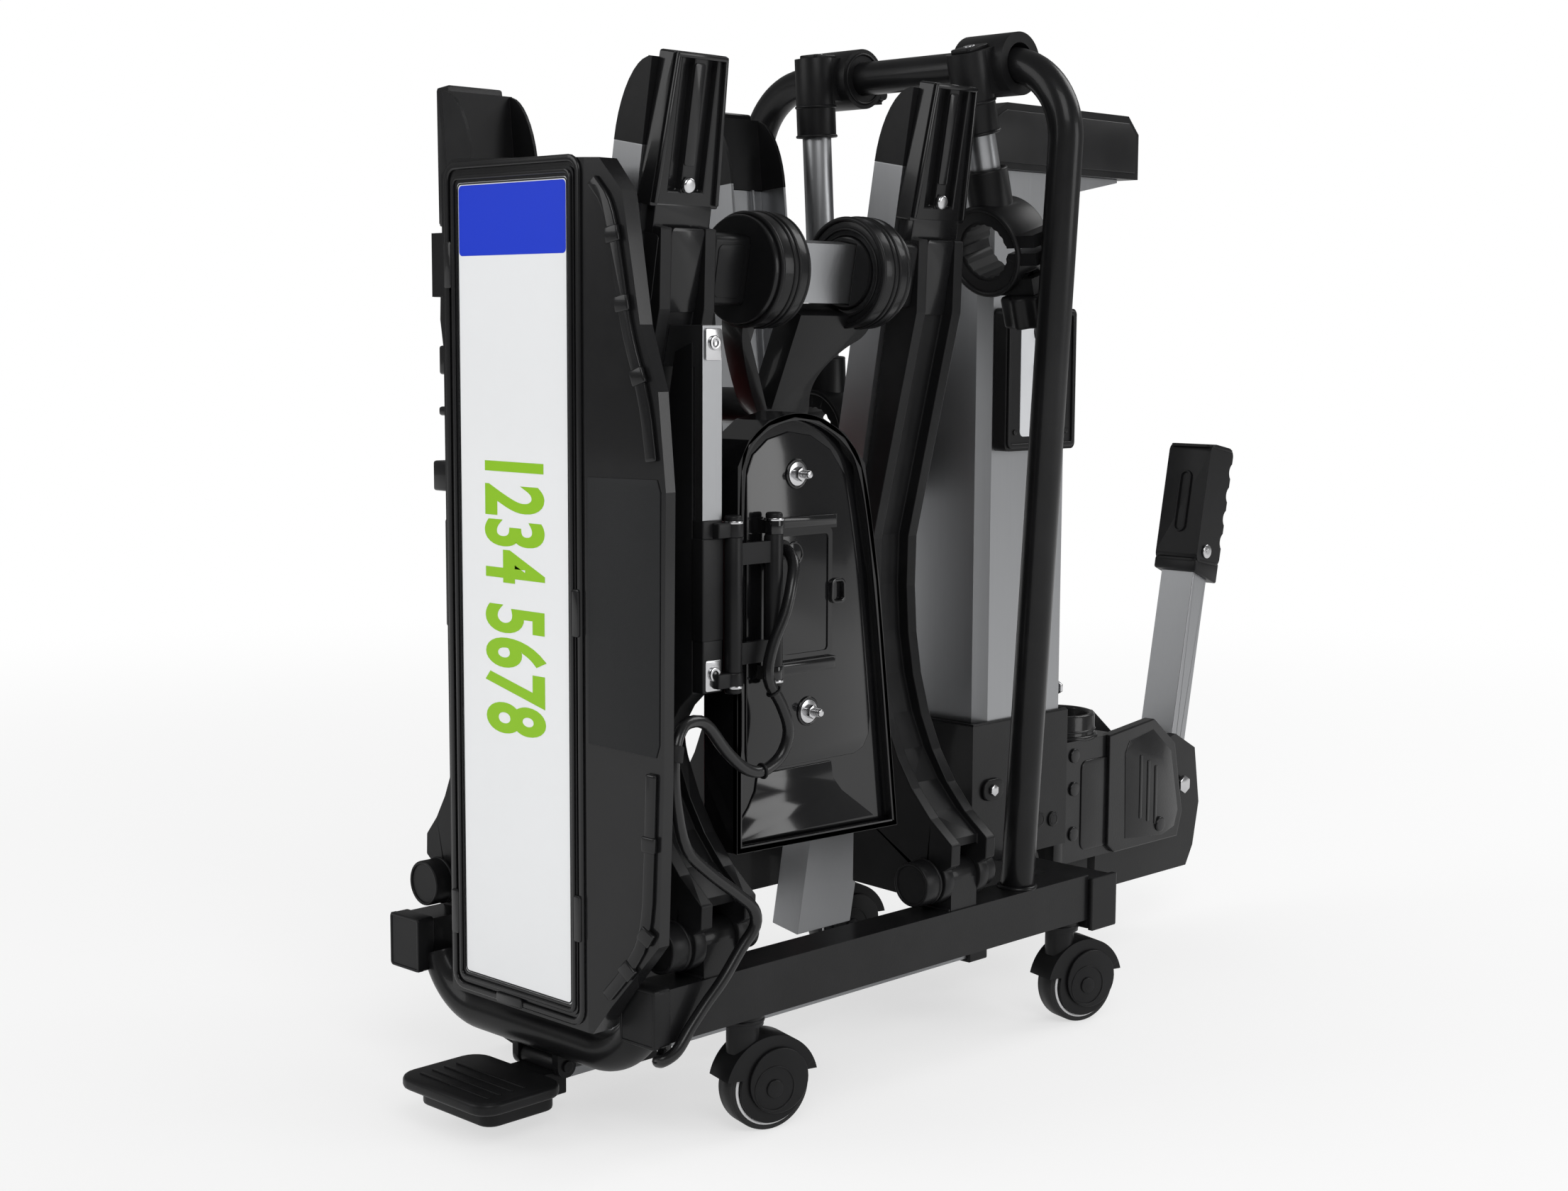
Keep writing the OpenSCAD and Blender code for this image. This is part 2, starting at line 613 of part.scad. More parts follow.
module tray() {
  difference() {
    yz(lamp_back - tray_d, lamp_back) tray_outline(0);
    yz(lamp_back - tray_d - over, lamp_back - tray_wall) tray_outline(tray_wall);
  }
  difference() {
    yz(lamp_back - tray_wall, lamp_back + lip_up) tray_outline(0);
    yz(lamp_back - tray_wall - over, lamp_back + lip_up + over) tray_outline(lip_t);
  }
  difference() {
    union() for (z = [knuckle_low, knuckle_high]) {
      rod_z(pin_x, pin_y2, z, z + knuckle, knuckle_r);
      box([lamp_back, pin_y2 - 4, z], [pin_x, pin_y2 + 66, z + knuckle]);
    }
    rod_z(pin_x, pin_y2, knuckle_low - over, knuckle_high + knuckle + over, pin_r + run_gap);
    for (z = [knuckle_low, knuckle_high])
      box([lamp_back + 6, pin_y2 + knuckle_r + 4, z - over], [pin_x + over, pin_y2 + 70, z + knuckle + over]);
  }
  difference() {
    yz(lamp_back, lamp_back + 2) round_box([pin_y2 + 2, knuckle_low + knuckle], [pin_y2 + 66, knuckle_high], 4);
    yz(lamp_back - over, lamp_back + 3) round_box([pin_y2 + 6, knuckle_low + knuckle + 4], [pin_y2 + 62, knuckle_high - 4], 3);
  }
}
module lens() { yz(lamp_back - tray_d - 4, lamp_back - tray_wall - 8) tray_outline(tray_wall + side_gap); }
module lamp_link_right() color([0.05, 0.05, 0.055]) link_body();
module lamp_link_left() color([0.05, 0.05, 0.055]) mirror([1, 0, 0]) link_body();
module lamp_tray_right() color([0.03, 0.03, 0.035]) tray();
module lamp_tray_left() color([0.03, 0.03, 0.035]) mirror([1, 0, 0]) tray();
module lamp_lens_right() color([0.6, 0.03, 0.03]) lens();
module lamp_lens_left() color([0.6, 0.03, 0.03]) mirror([1, 0, 0]) lens();

// Stay yoke, turning on the right cross tube's sleeves
yoke_low = 475;
yoke_y = 200;
module stay_yoke() color([0.05, 0.05, 0.055]) {
  c = [rail_x, 0, hinge_z];
  n = -base_right + tube_mid[0];
  t = tube_mid[1];
  p = c + [n * cos(lean_right) + t * sin(lean_right), 0, -n * sin(lean_right) + t * cos(lean_right)];
  leg_r = 12.5;
  foot = [p[0] - 34, yoke_y, yoke_low];
  for (h = hub_y) difference() {
    union() {
      rod_y(p[0], p[2], h[0] + side_gap, h[1] - side_gap, hub_out);
      rod([p[0] - 8, (h[0] + h[1]) / 2 + (h[0] < yoke_y ? 2 : -2), p[2] - hub_out + 6], foot, leg_r);
    }
    rod_y(p[0], p[2], h[0] - hub_w, h[1] + hub_w, sleeve_r + run_gap);
  }
  translate(foot) sphere(leg_r);
  rod_x(yoke_y, yoke_low, foot[0] - 70, foot[0], leg_r);
}

// Lift column
col_y1 = tilt_y + 41;
col_y0 = col_y1 - col_d;
col_z0 = 222;
col_z1 = 650;
foot_gap = side_gap;
slot_w = 12;
key_z = 232;
key_h = 24;
screw_y = col_y0 + 68;
module col_outline(g) {
  a = col_w / 2 - g;
  c = col_chamfer - g / 2;
  polygon([[-a + c, col_y0 + g], [a - c, col_y0 + g], [a, col_y0 + c + g], [a, col_y1 - c - g], [a - c, col_y1 - g],
    [-a + c, col_y1 - g], [-a, col_y1 - c - g], [-a, col_y0 + c + g]]);
}
module column_tube() color([0.78, 0.79, 0.8]) {
  difference() {
    xy(col_z0, col_z1) difference() {
      col_outline(0);
      col_outline(col_wall);
    }
    box([-slot_w, col_y1 - col_wall - over, col_z0 - over], [slot_w, col_y1 + over, key_z + key_h + lift + 8]);
  }
  yz(-col_w / 2 + 3, col_w / 2 - 3) polygon([[col_y1, col_z1 - 14], [col_y1 + 60, col_z1 - 3], [col_y1 + 60, col_z1], [col_y1, col_z1]]);
}
head_y0 = col_y0 - 12;
head_y1 = col_y1 + 77;
head_x = 50;
head_wall = 4;
module head_outline(g) {
  c = 14;
  polygon([[head_y0 + g, col_z1 + g], [head_y1 - g, col_z1 + g], [head_y1 - g, col_z1 + head_h - c - g / 2],
    [head_y1 - c - g / 2, col_z1 + head_h - g], [head_y0 + 2 * c, col_z1 + head_h - g], [head_y0 + g, col_z1 + head_h - c]]);
}
module column_head() color([0.05, 0.05, 0.055]) {
  difference() {
    yz(-head_x, head_x) head_outline(0);
    yz(-head_x + head_wall, head_x - head_wall) head_outline(head_wall);
    rod_z(0, screw_y, col_z1 - over, col_z1 + head_wall + over, screw_d / 2 + run_gap);
  }
  difference() {
    rod_z(0, screw_y, col_z1 + head_wall - 0.5, col_z1 + 18, screw_d / 2 + 6);
    rod_z(0, screw_y, col_z1 - over, col_z1 + 14, screw_d / 2 + run_gap);
  }
}
foot_z = cross_top + side_gap;
foot_x = col_w / 2 + 3;
module column_foot() color([0.05, 0.05, 0.055]) difference() {
  union() {
    box([-foot_x, col_y0 - 12, foot_z], [foot_x, col_y1, col_z0]);
    yz(-lug_x + side_gap, lug_x - side_gap) {
      translate([tilt_y, tilt_z]) circle(lug_r);
      translate([tilt_y - lug_r / 2, tilt_z]) square([lug_r + lug_r / 2, foot_z - tilt_z + over]);
    }
    rod_x(tilt_y, tilt_z, -lug_x - lug_w, lug_x + lug_w, tilt_pin_r);
    xy(col_z0, col_z0 + 6) difference() {
      intersection() {
        col_outline(col_wall + side_gap);
        translate([-col_w, 0]) square([2 * col_w, col_y1 - col_wall - 12]);
      }
      translate([0, screw_y]) circle(screw_d / 2 + 4);
    }
  }
  difference() {
    rod_x(tilt_y, tilt_z, lug_x - side_gap, lug_x + lug_w + side_gap, lug_r + slide_gap);
    rod_x(tilt_y, tilt_z, -foot_x, foot_x, tilt_pin_r);
  }
  difference() {
    rod_x(tilt_y, tilt_z, -lug_x - lug_w - side_gap, -lug_x + side_gap, lug_r + slide_gap);
    rod_x(tilt_y, tilt_z, -foot_x, foot_x, tilt_pin_r);
  }
  rod_z(0, screw_y, col_z0 - 8, col_z0 + 10, screw_d / 2 + run_gap);
}
panel_x = col_w / 2;
panel_t = 12;
panel_y0 = col_y0 + col_chamfer + 1;
panel_y1 = col_y1 - col_chamfer - 1;
panel_z0 = 435;
panel_z1 = 545;
button_y = (panel_y0 + panel_y1) / 2;
button_z = 499;
module control_panel() color([0.06, 0.06, 0.065]) difference() {
  yz(panel_x, panel_x + panel_t) round_box([panel_y0, panel_z0], [panel_y1, panel_z1], 5);
  for (i = [-1, 0, 1]) rod_x(button_y, button_z + i * button_pitch, panel_x + panel_t / 2 - 3, panel_x + panel_t + over,
    button_d / 2 + run_gap);
}
module button(i) color([0.55, 0.56, 0.58])
  rod_x(button_y, button_z + i * button_pitch, panel_x + panel_t / 2, panel_x + panel_t + 2.5, button_d / 2);
module button_up() button(1);
module button_stop() button(0);
module button_down() button(-1);
module lead_screw() color([0.6, 0.6, 0.62]) rod_z(0, screw_y, col_z0 - 7, col_z1 + 13, screw_d / 2);

// Lift carriage and coupling
carriage_y = col_y1 + side_gap;
carriage_t = 12;
carriage_x = 36;
carriage_z0 = 85;
carriage_z1 = 262;
module carriage() color([0.1, 0.1, 0.105]) {
  box([-carriage_x, carriage_y, carriage_z0], [carriage_x, carriage_y + carriage_t, carriage_z1]);
  difference() {
    union() {
      box([-slot_w + side_gap, screw_y, key_z], [slot_w - side_gap, carriage_y, key_z + key_h]);
      rod_z(0, screw_y, key_z, key_z + key_h, screw_d / 2 + 8);
    }
    rod_z(0, screw_y, key_z - over, key_z + key_h + over, screw_d / 2 + run_gap);
  }
}
ball_y = carriage_y + carriage_t + 133;
ball_z = 100;
shell_y0 = carriage_y + carriage_t;
cup_y = shell_y0 + cup_d / 2 + 0.5;
cup_top = 208;
body_x = 34;
body_y1 = shell_y0 + 73;
body_z0 = 88;
body_z1 = 190;
core_z0 = 92;
core_z1 = 150;
hook_low = 55;
cheek_t = 10;
hook_t = 8;
pivot_l = [ball_y + 49, 130];
pivot_j = [ball_y + 21, 146];
lever_pin_r = 5;
jaw_pin_r = 4;
lever_x = 17;
module coupling_body() color([0.04, 0.04, 0.045]) {
  difference() {
    union() {
      coupling_block();
      coupling_core();
      rod_z(0, cup_y, body_z1 - 10, cup_top, cup_d / 2);
    }
    rod_z(0, cup_y, cup_top - 30, cup_top + over, cup_bore / 2);
    ball_room();
  }
}
module coupling_block() { box([-body_x, shell_y0, body_z0], [body_x, body_y1, body_z1]); }
module coupling_core() { box([-cheek_w / 2 + cheek_t, body_y1 - 7, core_z0], [cheek_w / 2 - cheek_t, ball_y + 8, core_z1]); }
module ball_room() {
  translate([0, ball_y, ball_z]) sphere(ball_d / 2 + side_gap);
  rod_z(0, ball_y, hook_low - over, ball_z, ball_d / 2 + side_gap);
}
module cheek_plates() color([0.05, 0.05, 0.055]) both() difference() {
  yz(cheek_w / 2 - cheek_t, cheek_w / 2)
    polygon([[body_y1 - 13, body_z0 + 8], [body_y1 - 3, body_z0], [ball_y + 28, body_z0], [ball_y + 35, body_z0 + 22],
      [ball_y + 22, body_z1 - 18], [ball_y - 10, body_z1 + 7], [body_y1 - 13, body_z1]]);
  coupling_block();
}
module hook_plates() color([0.05, 0.05, 0.055]) {
  both() difference() {
    yz(lever_x + 1, lever_x + 1 + hook_t)
      polygon([[body_y1 - 15, hook_low + 15], [body_y1 - 3, hook_low], [ball_y + 60, hook_low], [ball_y + 70, hook_low + 17],
        [ball_y + 78, hook_low + 55], [ball_y + 70, hook_low + 105], [ball_y + 40, hook_low + 121],
        [body_y1 - 13, core_z1]]);
    coupling_block();
    coupling_core();
    ball_room();
  }
  rod_x(pivot_l[0], pivot_l[1], -lever_x - 1 - hook_t - 2, lever_x + 1 + hook_t + 2, lever_pin_r);
  rod_x(pivot_j[0], pivot_j[1], -lever_x - 1 - hook_t, lever_x + 1 + hook_t, jaw_pin_r);
}
module ball_jaw() color([0.3, 0.3, 0.31]) difference() {
  yz(-lever_x + 3, lever_x - 3) difference() {
    union() {
      polygon(concat(arc([ball_y, ball_z], ball_d / 2 + 10, -40, 62, 10), arc([ball_y, ball_z], ball_d / 2 + slide_gap + side_gap, 62, -40, 10)));
      translate(pivot_j) circle(9);
      polygon([[pivot_j[0] - 9, pivot_j[1]], [pivot_j[0] + 9, pivot_j[1]], [ball_y + 30, ball_z + 18], [ball_y + 19, ball_z + 20]]);
    }
    translate(pivot_j) circle(jaw_pin_r + run_gap);
  }
  translate([0, ball_y, ball_z]) sphere(ball_d / 2 + slide_gap);
}
lever_lean = 11;
lever_y = 21;
grip_l = 107;
module lever() { translate([0, pivot_l[0], pivot_l[1]]) rotate([-lever_lean, 0, 0]) children(); }
module lever_bar() color([0.78, 0.79, 0.8]) lever() difference() {
  union() {
    box([-lever_x, -lever_y / 2, 0], [lever_x, lever_y / 2, lever_l + 40]);
    rod_x(0, 0, -lever_x, lever_x, lever_y / 2);
  }
  rod_x(0, 0, -lever_x - over, lever_x + over, lever_pin_r + run_gap);
}
module lever_grip() color([0.05, 0.05, 0.055]) lever() difference() {
  yz(-lever_x - 5, lever_x + 5) difference() {
    round_box([-lever_y / 2 - 6, lever_l], [lever_y / 2 + 9, lever_l + grip_l], 8);
    for (i = [0 : 3]) translate([lever_y / 2 + 15, lever_l + 24 + 21 * i]) circle(9);
  }
  box([-lever_x, -lever_y / 2, lever_l - over], [lever_x, lever_y / 2, lever_l + 40]);
}

// Pedal and release bar
pedal_y0 = -45;
module pedal() color([0.05, 0.05, 0.055]) {
  difference() {
    union() {
      box([-pedal_w / 2, pedal_y0, bar_z - 9], [pedal_w / 2, pivot_y - 17, bar_z - 9 + pedal_t]);
      box([-hang_x + side_gap, pivot_y - 20, bar_z - 9], [hang_x - side_gap, pivot_y + 5, bar_z + 8]);
      rod_x(pivot_y, pivot_z, -hang_x + side_gap, hang_x - side_gap, hang_r - 1);
    }
    for (i = [0 : 4]) box([-pedal_w / 2 + 12, pedal_y0 + 8 + 10 * i, bar_z - 9 + pedal_t - 2],
      [pedal_w / 2 - 12, pedal_y0 + 12 + 10 * i, bar_z + pedal_t]);
  }
  rod_x(pivot_y, pivot_z, -hang_x - hang_w - 2, hang_x + hang_w + 2, pedal_pin_r);
}
module release_bar() color([0.78, 0.79, 0.8])
  box([-bar_w2, pivot_y + 5 + 2 * over, bar_z], [bar_w2, cross_y1 - 2, bar_z + bar_thick]);

// Frame holders hung on the hoop's top bar
tube_off = 30;
holder_one = [59.5 - rail_x, 3.5, 236, 1];
holder_two = [rail_x - 32.5, 16, 94, 0];
head_w = 23;
socket_low = -42;
bend_relief = 2.4;
module on_hoop(h) { translate([h[0], hoop_y, hoop_z]) rotate([h[1], 0, 0]) children(); }
module holder_head(h) color([0.05, 0.05, 0.055]) on_hoop(h) difference() {
  union() {
    rod_x(0, 0, -head_w, head_w, hoop_d / 2 + 10);
    rod_z(0, -tube_off, socket_low, 16, tube_d / 2 + 4);
    box([-head_w / 2 - 3, -tube_off, -16], [head_w / 2 + 3, 0, 16]);
    box([-head_w / 2, 0, -18], [head_w / 2, 33, -4]);
    rod_x(30, -11, -head_w / 2 - 5, head_w / 2 + 5, 4);
  }
  rod_x(0, 0, -head_w - over, head_w + over, hoop_d / 2 + run_gap);
  if (h[0] + head_w > hoop_cx) rod_x(0, 0, hoop_cx - h[0] - over, head_w + over, hoop_d / 2 + bend_relief);
  rod_z(0, -tube_off, socket_low - over, 6, tube_d / 2);
}
module holder_tube(h) color([0.78, 0.79, 0.8]) on_hoop(h) rod_z(0, -tube_off, -h[2], 5.5, tube_d / 2);
jaw_w = 17;
jaw_t = 12;
module holder_jaw(h) color([0.05, 0.05, 0.055]) on_hoop(h) mirror([h[3], 0, 0]) translate([0, -tube_off, -h[2]]) {
  jz = -jaw_bore / 2 - jaw_t + 2;
  difference() {
    union() {
      rod_z(0, 0, -4, 24, tube_d / 2 + 5);
      rod_y(0, jz, -jaw_w, jaw_w, jaw_bore / 2 + jaw_t);
      box([10, -jaw_w, jz - 11], [jaw_bore / 2 + jaw_t + 13, jaw_w, jz + 11]);
      box([0, -12, jz - jaw_bore / 2 - jaw_t], [36, 12, jz - jaw_bore / 2]);
    }
    rod_z(0, 0, -0.3, 24 + over, tube_d / 2 + run_gap);
    rod_y(0, jz, -jaw_w - over, jaw_w + over, jaw_bore / 2);
    box([0, -jaw_w - over, jz - 2], [jaw_bore + jaw_t + 20, jaw_w + over, jz + 2]);
    rod_z(24, 0, jz - jaw_bore, jz - jaw_bore / 2 + 6, 4 + run_gap);
  }
}
module jaw_knob(h) color([0.06, 0.06, 0.065]) on_hoop(h) mirror([h[3], 0, 0]) translate([24, -tube_off, -h[2] - jaw_bore - 2 * jaw_t + 2]) {
  rod_z(0, 0, -24, -side_gap, 23);
  rod_z(0, 0, -side_gap - 1, jaw_t - 2, 4);
}
module holder_head_one() holder_head(holder_one);
module holder_tube_one() holder_tube(holder_one);
module holder_jaw_one() holder_jaw(holder_one);
module jaw_knob_one() jaw_knob(holder_one);
module holder_head_two() holder_head(holder_two);
module holder_tube_two() holder_tube(holder_two);
module holder_jaw_two() holder_jaw(holder_two);
module jaw_knob_two() jaw_knob(holder_two);

// Cables: a tube swept along points chosen by hand
cable_r = 4;
cable_sides = 8;
lamp_path = [[115.8, 152, 384], [124, 152, 383], [133, 148, 376], [139, 140, 362], [140, 133, 344], [138, 124, 324],
  [138, 120, 304], [140, 130, 286], [141, 136, 268], [140, 130, 252], [139, 114, 244], [139, 98, 248], [140, 80, 262],
  [142, 60, 282], [144, 42, 284], [147, 32, 276], [148, 29, 268]];
wing_path = [[148.2, 28.6, 266.4], [149, 27, 256], [150, 28, 236], [150, 36, 208], [151, 54, 190], [152, 78, 172], [153, 92, 160],
  [153, 94, 148], [150, 84, 134], [148, 70, 116], [145, 58, 102], [143, 46, 88], [142, 36, 76], [137, 30, 70],
  [129, 32, 67], [124, 38, 66], [122.5, 43, 70], [122.5, 44, 75], [122.5, 44, 79.8]];
function smooth(p) = [for (i = [0 : len(p) - 2], s = [0, 0.5]) let (
  a = p[max(i - 1, 0)], b = p[i], c = p[i + 1], d = p[min(i + 2, len(p) - 1)])
  0.5 * (2 * b + (c - a) * s + (2 * a - 5 * b + 4 * c - d) * s * s + (3 * b - a - 3 * c + d) * s * s * s), p[len(p) - 1]];
function unit(v) = v / norm(v);
module swept(p, r, n) {
  k = len(p);
  t = [for (i = [0 : k - 1]) unit(p[min(i + 1, k - 1)] - p[max(i - 1, 0)])];
  u = [for (i = [0 : k - 1]) unit(cross(t[i], [1, 0.1, 0.05]))];
  pts = [for (i = [0 : k - 1], j = [0 : n - 1]) let (v = cross(t[i], u[i]))
    p[i] + r * (cos(360 * j / n) * u[i] + sin(360 * j / n) * v)];
  polyhedron(pts, concat([[for (j = [n - 1 : -1 : 0]) j]], [for (i = [0 : k - 2], j = [0 : n - 1])
    [i * n + j, i * n + (j + 1) % n, (i + 1) * n + (j + 1) % n, (i + 1) * n + j]], [[for (j = [0 : n - 1]) (k - 1) * n + j]]));
}
module lamp_cable() color([0.04, 0.04, 0.045]) swept(smooth(lamp_path), cable_r, cable_sides);
module wing_cable() color([0.04, 0.04, 0.045]) swept(smooth(wing_path), cable_r, cable_sides);

place() platform_frame();
place() hoop();
place() rail_end_caps();
place() hinge_bolts();
place() castor_fork_rear_right();
place() castor_wheel_rear_right();
place() castor_fork_rear_left();
place() castor_wheel_rear_left();
place() castor_fork_front_right();
place() castor_wheel_front_right();
place() castor_fork_front_left();
place() castor_wheel_front_left();
place() arms_right();
place() wheel_rails_right();
place() wheel_rail_caps_right();
place() clamp_channels_right();
place() wing_tubes_right();
place() arms_left();
place() wheel_rails_left();
place() wheel_rail_caps_left();
place() clamp_channels_left();
place() wing_tubes_left();
place() plate_holder();
place() number_plate();
place() lamp_link_right();
place() lamp_tray_right();
place() lamp_lens_right();
place() lamp_link_left();
place() lamp_tray_left();
place() lamp_lens_left();
place() stay_yoke();
place() column_tube();
place() column_head();
place() column_foot();
place() control_panel();
place() button_up();
place() button_stop();
place() button_down();
place() lead_screw();
place() carriage();
place() coupling_body();
place() ball_jaw();
place() lever_bar();
place() lever_grip();
place() pedal();
place() release_bar();
place() holder_head_one();
place() holder_tube_one();
place() holder_jaw_one();
place() jaw_knob_one();
place() holder_head_two();
place() holder_tube_two();
place() holder_jaw_two();
place() jaw_knob_two();
place() lamp_cable();
place() wing_cable();
place() bar_guides();
place() yoke_sleeves();
place() cheek_plates();
place() hook_plates();
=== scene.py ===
"""Folded motorhome bike rack: finishes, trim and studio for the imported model."""

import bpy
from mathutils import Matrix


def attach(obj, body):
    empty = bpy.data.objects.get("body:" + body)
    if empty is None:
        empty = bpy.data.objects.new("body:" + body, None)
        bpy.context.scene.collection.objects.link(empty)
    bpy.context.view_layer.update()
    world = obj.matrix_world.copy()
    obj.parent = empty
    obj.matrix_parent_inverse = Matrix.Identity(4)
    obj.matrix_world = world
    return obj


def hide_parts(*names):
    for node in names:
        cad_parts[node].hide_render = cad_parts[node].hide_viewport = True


bl_info = {
    "name": "Motorhome bike rack",
    "version": (1, 0, 0),
    "blender": (4, 5, 0),
    "location": "3D View > Sidebar > Bike rack",
    "description": "Dresses the folded bike rack with its finishes, fittings, cables and studio",
    "category": "Object",
}

import fnmatch
import math

import bpy
from mathutils import Matrix, Vector

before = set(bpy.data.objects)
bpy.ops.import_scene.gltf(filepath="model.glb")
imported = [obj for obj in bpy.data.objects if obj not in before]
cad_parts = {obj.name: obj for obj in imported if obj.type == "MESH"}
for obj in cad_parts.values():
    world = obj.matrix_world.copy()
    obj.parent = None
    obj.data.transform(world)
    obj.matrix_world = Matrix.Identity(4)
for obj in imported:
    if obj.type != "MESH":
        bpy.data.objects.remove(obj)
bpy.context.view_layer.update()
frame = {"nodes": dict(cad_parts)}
NODES = frame["nodes"]

# The number plate's face lies this far from the object's middle, towards -Y, in metres
SHIFT = 0.39034
# Middle of a platform rail and height of the wings' hinges, in millimetres
RAIL_X = 122.5
HINGE_Z = 137
# Middles of the two rows of arms along Y, and heights of the column's buttons
ARM_ROWS = (79, 322)
BUTTON_ROWS = (527, 499, 471)
# How many degrees each folded wing leans inwards, and how far from its hinge its wheel rails' floor lies
LEAN = {"right": 9.8, "left": 5.6}
BASE = {"right": 112, "left": 69}
# Angle past which an edge stays sharp
SHARP = 35
SIDES = (-1, 1)
ACROSS, ALONG, UP = (1, 0, 0), (0, 1, 0), (0, 0, 1)


def mm(x, y, z):
    """A point given in millimetres, with Y measured from the number plate's face."""
    return Vector((x / 1000, y / 1000 - SHIFT, z / 1000))


def own(x, y, z):
    """A point given in millimetres in a piece's own frame."""
    return Vector((x / 1000, y / 1000, z / 1000))


def at_x(x, outline, y0=0, turn=1):
    """An outline of Y and Z at one X, with Y measured from y0 and turned round where turn is -1."""
    return [mm(x, y0 + turn * y, z) for y, z in outline]


def at_y(y, outline):
    """An outline of X and Z at one Y."""
    return [mm(x, y, z) for x, z in outline]


def at_z(z, outline):
    """An outline of X and Y at one Z."""
    return [mm(x, y, z) for x, y in outline]


def deselect():
    if bpy.context.object and bpy.context.object.mode != "OBJECT":
        bpy.ops.object.mode_set(mode="OBJECT")
    bpy.ops.object.select_all(action="DESELECT")


def only(obj):
    deselect()
    obj.select_set(True)
    bpy.context.view_layer.objects.active = obj


def settle(obj):
    """Puts the object's place into its mesh."""
    only(obj)
    bpy.ops.object.transform_apply(location=True, rotation=True, scale=True)
    return obj


def edit(kind="VERT", action="SELECT"):
    """Opens the active mesh with all of its points or faces selected, or none."""
    bpy.ops.object.mode_set(mode="EDIT")
    bpy.ops.mesh.select_mode(type=kind)
    bpy.ops.mesh.select_all(action=action)


def leave_edit():
    bpy.ops.mesh.select_mode(type="VERT")
    bpy.ops.object.mode_set(mode="OBJECT")


def edit_where(obj, kind, test):
    """Opens a mesh with only those of its points or faces selected that pass a test."""
    only(obj)
    edit(kind, "DESELECT")
    bpy.ops.object.mode_set(mode="OBJECT")
    for part in obj.data.vertices if kind == "VERT" else obj.data.polygons:
        part.select = test(part)
    bpy.ops.object.mode_set(mode="EDIT")


def face_out(obj):
    only(obj)
    edit()
    bpy.ops.mesh.remove_doubles(threshold=1e-6)
    bpy.ops.mesh.normals_make_consistent(inside=False)
    leave_edit()
    return obj


def smooth_by_angle(angle=SHARP):
    bpy.ops.object.shade_smooth_by_angle(angle=math.radians(angle))


def soften(obj, width, segments=3, angle=SHARP, smooth=SHARP):
    """Rounds the edges of a finished form and smooths its shading."""
    only(obj)
    m = obj.modifiers.new("Edges", "BEVEL")
    m.width = width
    m.segments = segments
    m.limit_method = "ANGLE"
    m.angle_limit = math.radians(angle)
    m.harden_normals = False
    bpy.ops.object.modifier_apply(modifier="Edges")
    smooth_by_angle(smooth)
    return obj


def named(name):
    obj = bpy.context.object
    obj.name = name
    obj.data.name = name
    return obj


def block(lo, hi):
    """A box between two corners."""
    deselect()
    bpy.ops.mesh.primitive_cube_add(size=1, location=(lo + hi) / 2)
    obj = bpy.context.object
    obj.scale = hi - lo
    return settle(obj)


def facing(axis):
    """The turn that brings the Z axis onto another."""
    return Vector(axis).to_track_quat("Z", "Y").to_euler()


def drum(a, b, radius, sides=48):
    """A cylinder between two points."""
    deselect()
    bpy.ops.mesh.primitive_cylinder_add(vertices=sides, radius=radius, depth=(b - a).length,
                                        location=(a + b) / 2, rotation=facing(b - a))
    return settle(bpy.context.object)


def pegs(x0, x1, y, z, radius, sides, edge, segments=3):
    """One softened cylinder across the rack on each side of its middle."""
    return [soften(drum(mm(s * x0, y, z), mm(s * x1, y, z), radius, sides), edge, segments) for s in SIDES]


def ring(centre, axis, radius, thick, sides=48, minor=12):
    """A smooth torus round an axis."""
    deselect()
    bpy.ops.mesh.primitive_torus_add(major_segments=sides, minor_segments=minor, major_radius=radius,
                                     minor_radius=thick, location=centre, rotation=facing(axis))
    obj = settle(bpy.context.object)
    bpy.ops.object.shade_smooth()
    return obj


def flat_face(points):
    """One flat face, drawn corner by corner as an extruded point."""
    deselect()
    points = [Vector(p) for p in points]
    bpy.ops.mesh.primitive_plane_add(size=0.01, location=points[0])
    obj = settle(bpy.context.object)
    edit()
    bpy.ops.mesh.merge(type="CENTER")
    for a, b in zip(points, points[1:]):
        bpy.ops.mesh.extrude_vertices_move(TRANSFORM_OT_translate={"value": tuple(b - a)})
    bpy.ops.mesh.select_all(action="SELECT")
    bpy.ops.mesh.edge_face_add()
    leave_edit()
    return obj


def slab(points, step):
    """A plate with a given outline, extruded along one step."""
    obj = flat_face(points)
    edit()
    bpy.ops.mesh.extrude_region_move(TRANSFORM_OT_translate={"value": tuple(step)})
    leave_edit()
    return face_out(obj)


def panels(x, outline, thick, edge, segments=3):
    """One softened plate on each side of the rack's middle."""
    return [soften(slab(at_x(s * x, outline), (s * thick, 0, 0)), edge, segments) for s in SIDES]


def frame_ring(points, width, step):
    """A flat ring inside an outline, extruded along one step."""
    obj = flat_face(points)
    edit("FACE")
    bpy.ops.mesh.inset(thickness=width, depth=0)
    bpy.ops.mesh.delete(type="FACE")
    bpy.ops.mesh.select_all(action="SELECT")
    bpy.ops.mesh.extrude_region_move(TRANSFORM_OT_translate={"value": tuple(step)})
    leave_edit()
    return face_out(obj)


def eased(points, rounds=3):
    """Cuts the corners of an open 2D line until it runs smoothly; its ends stay."""
    for _ in range(rounds):
        line = [points[0]]
        for a, b in zip(points, points[1:]):
            line += [tuple(Vector(a).lerp(Vector(b), share)) for share in (0.25, 0.75)]
        points = line + [points[-1]]
    return points


def polar(radius, angle):
    """The two coordinates of a point at a radius and an angle in degrees."""
    return radius * math.cos(math.radians(angle)), radius * math.sin(math.radians(angle))


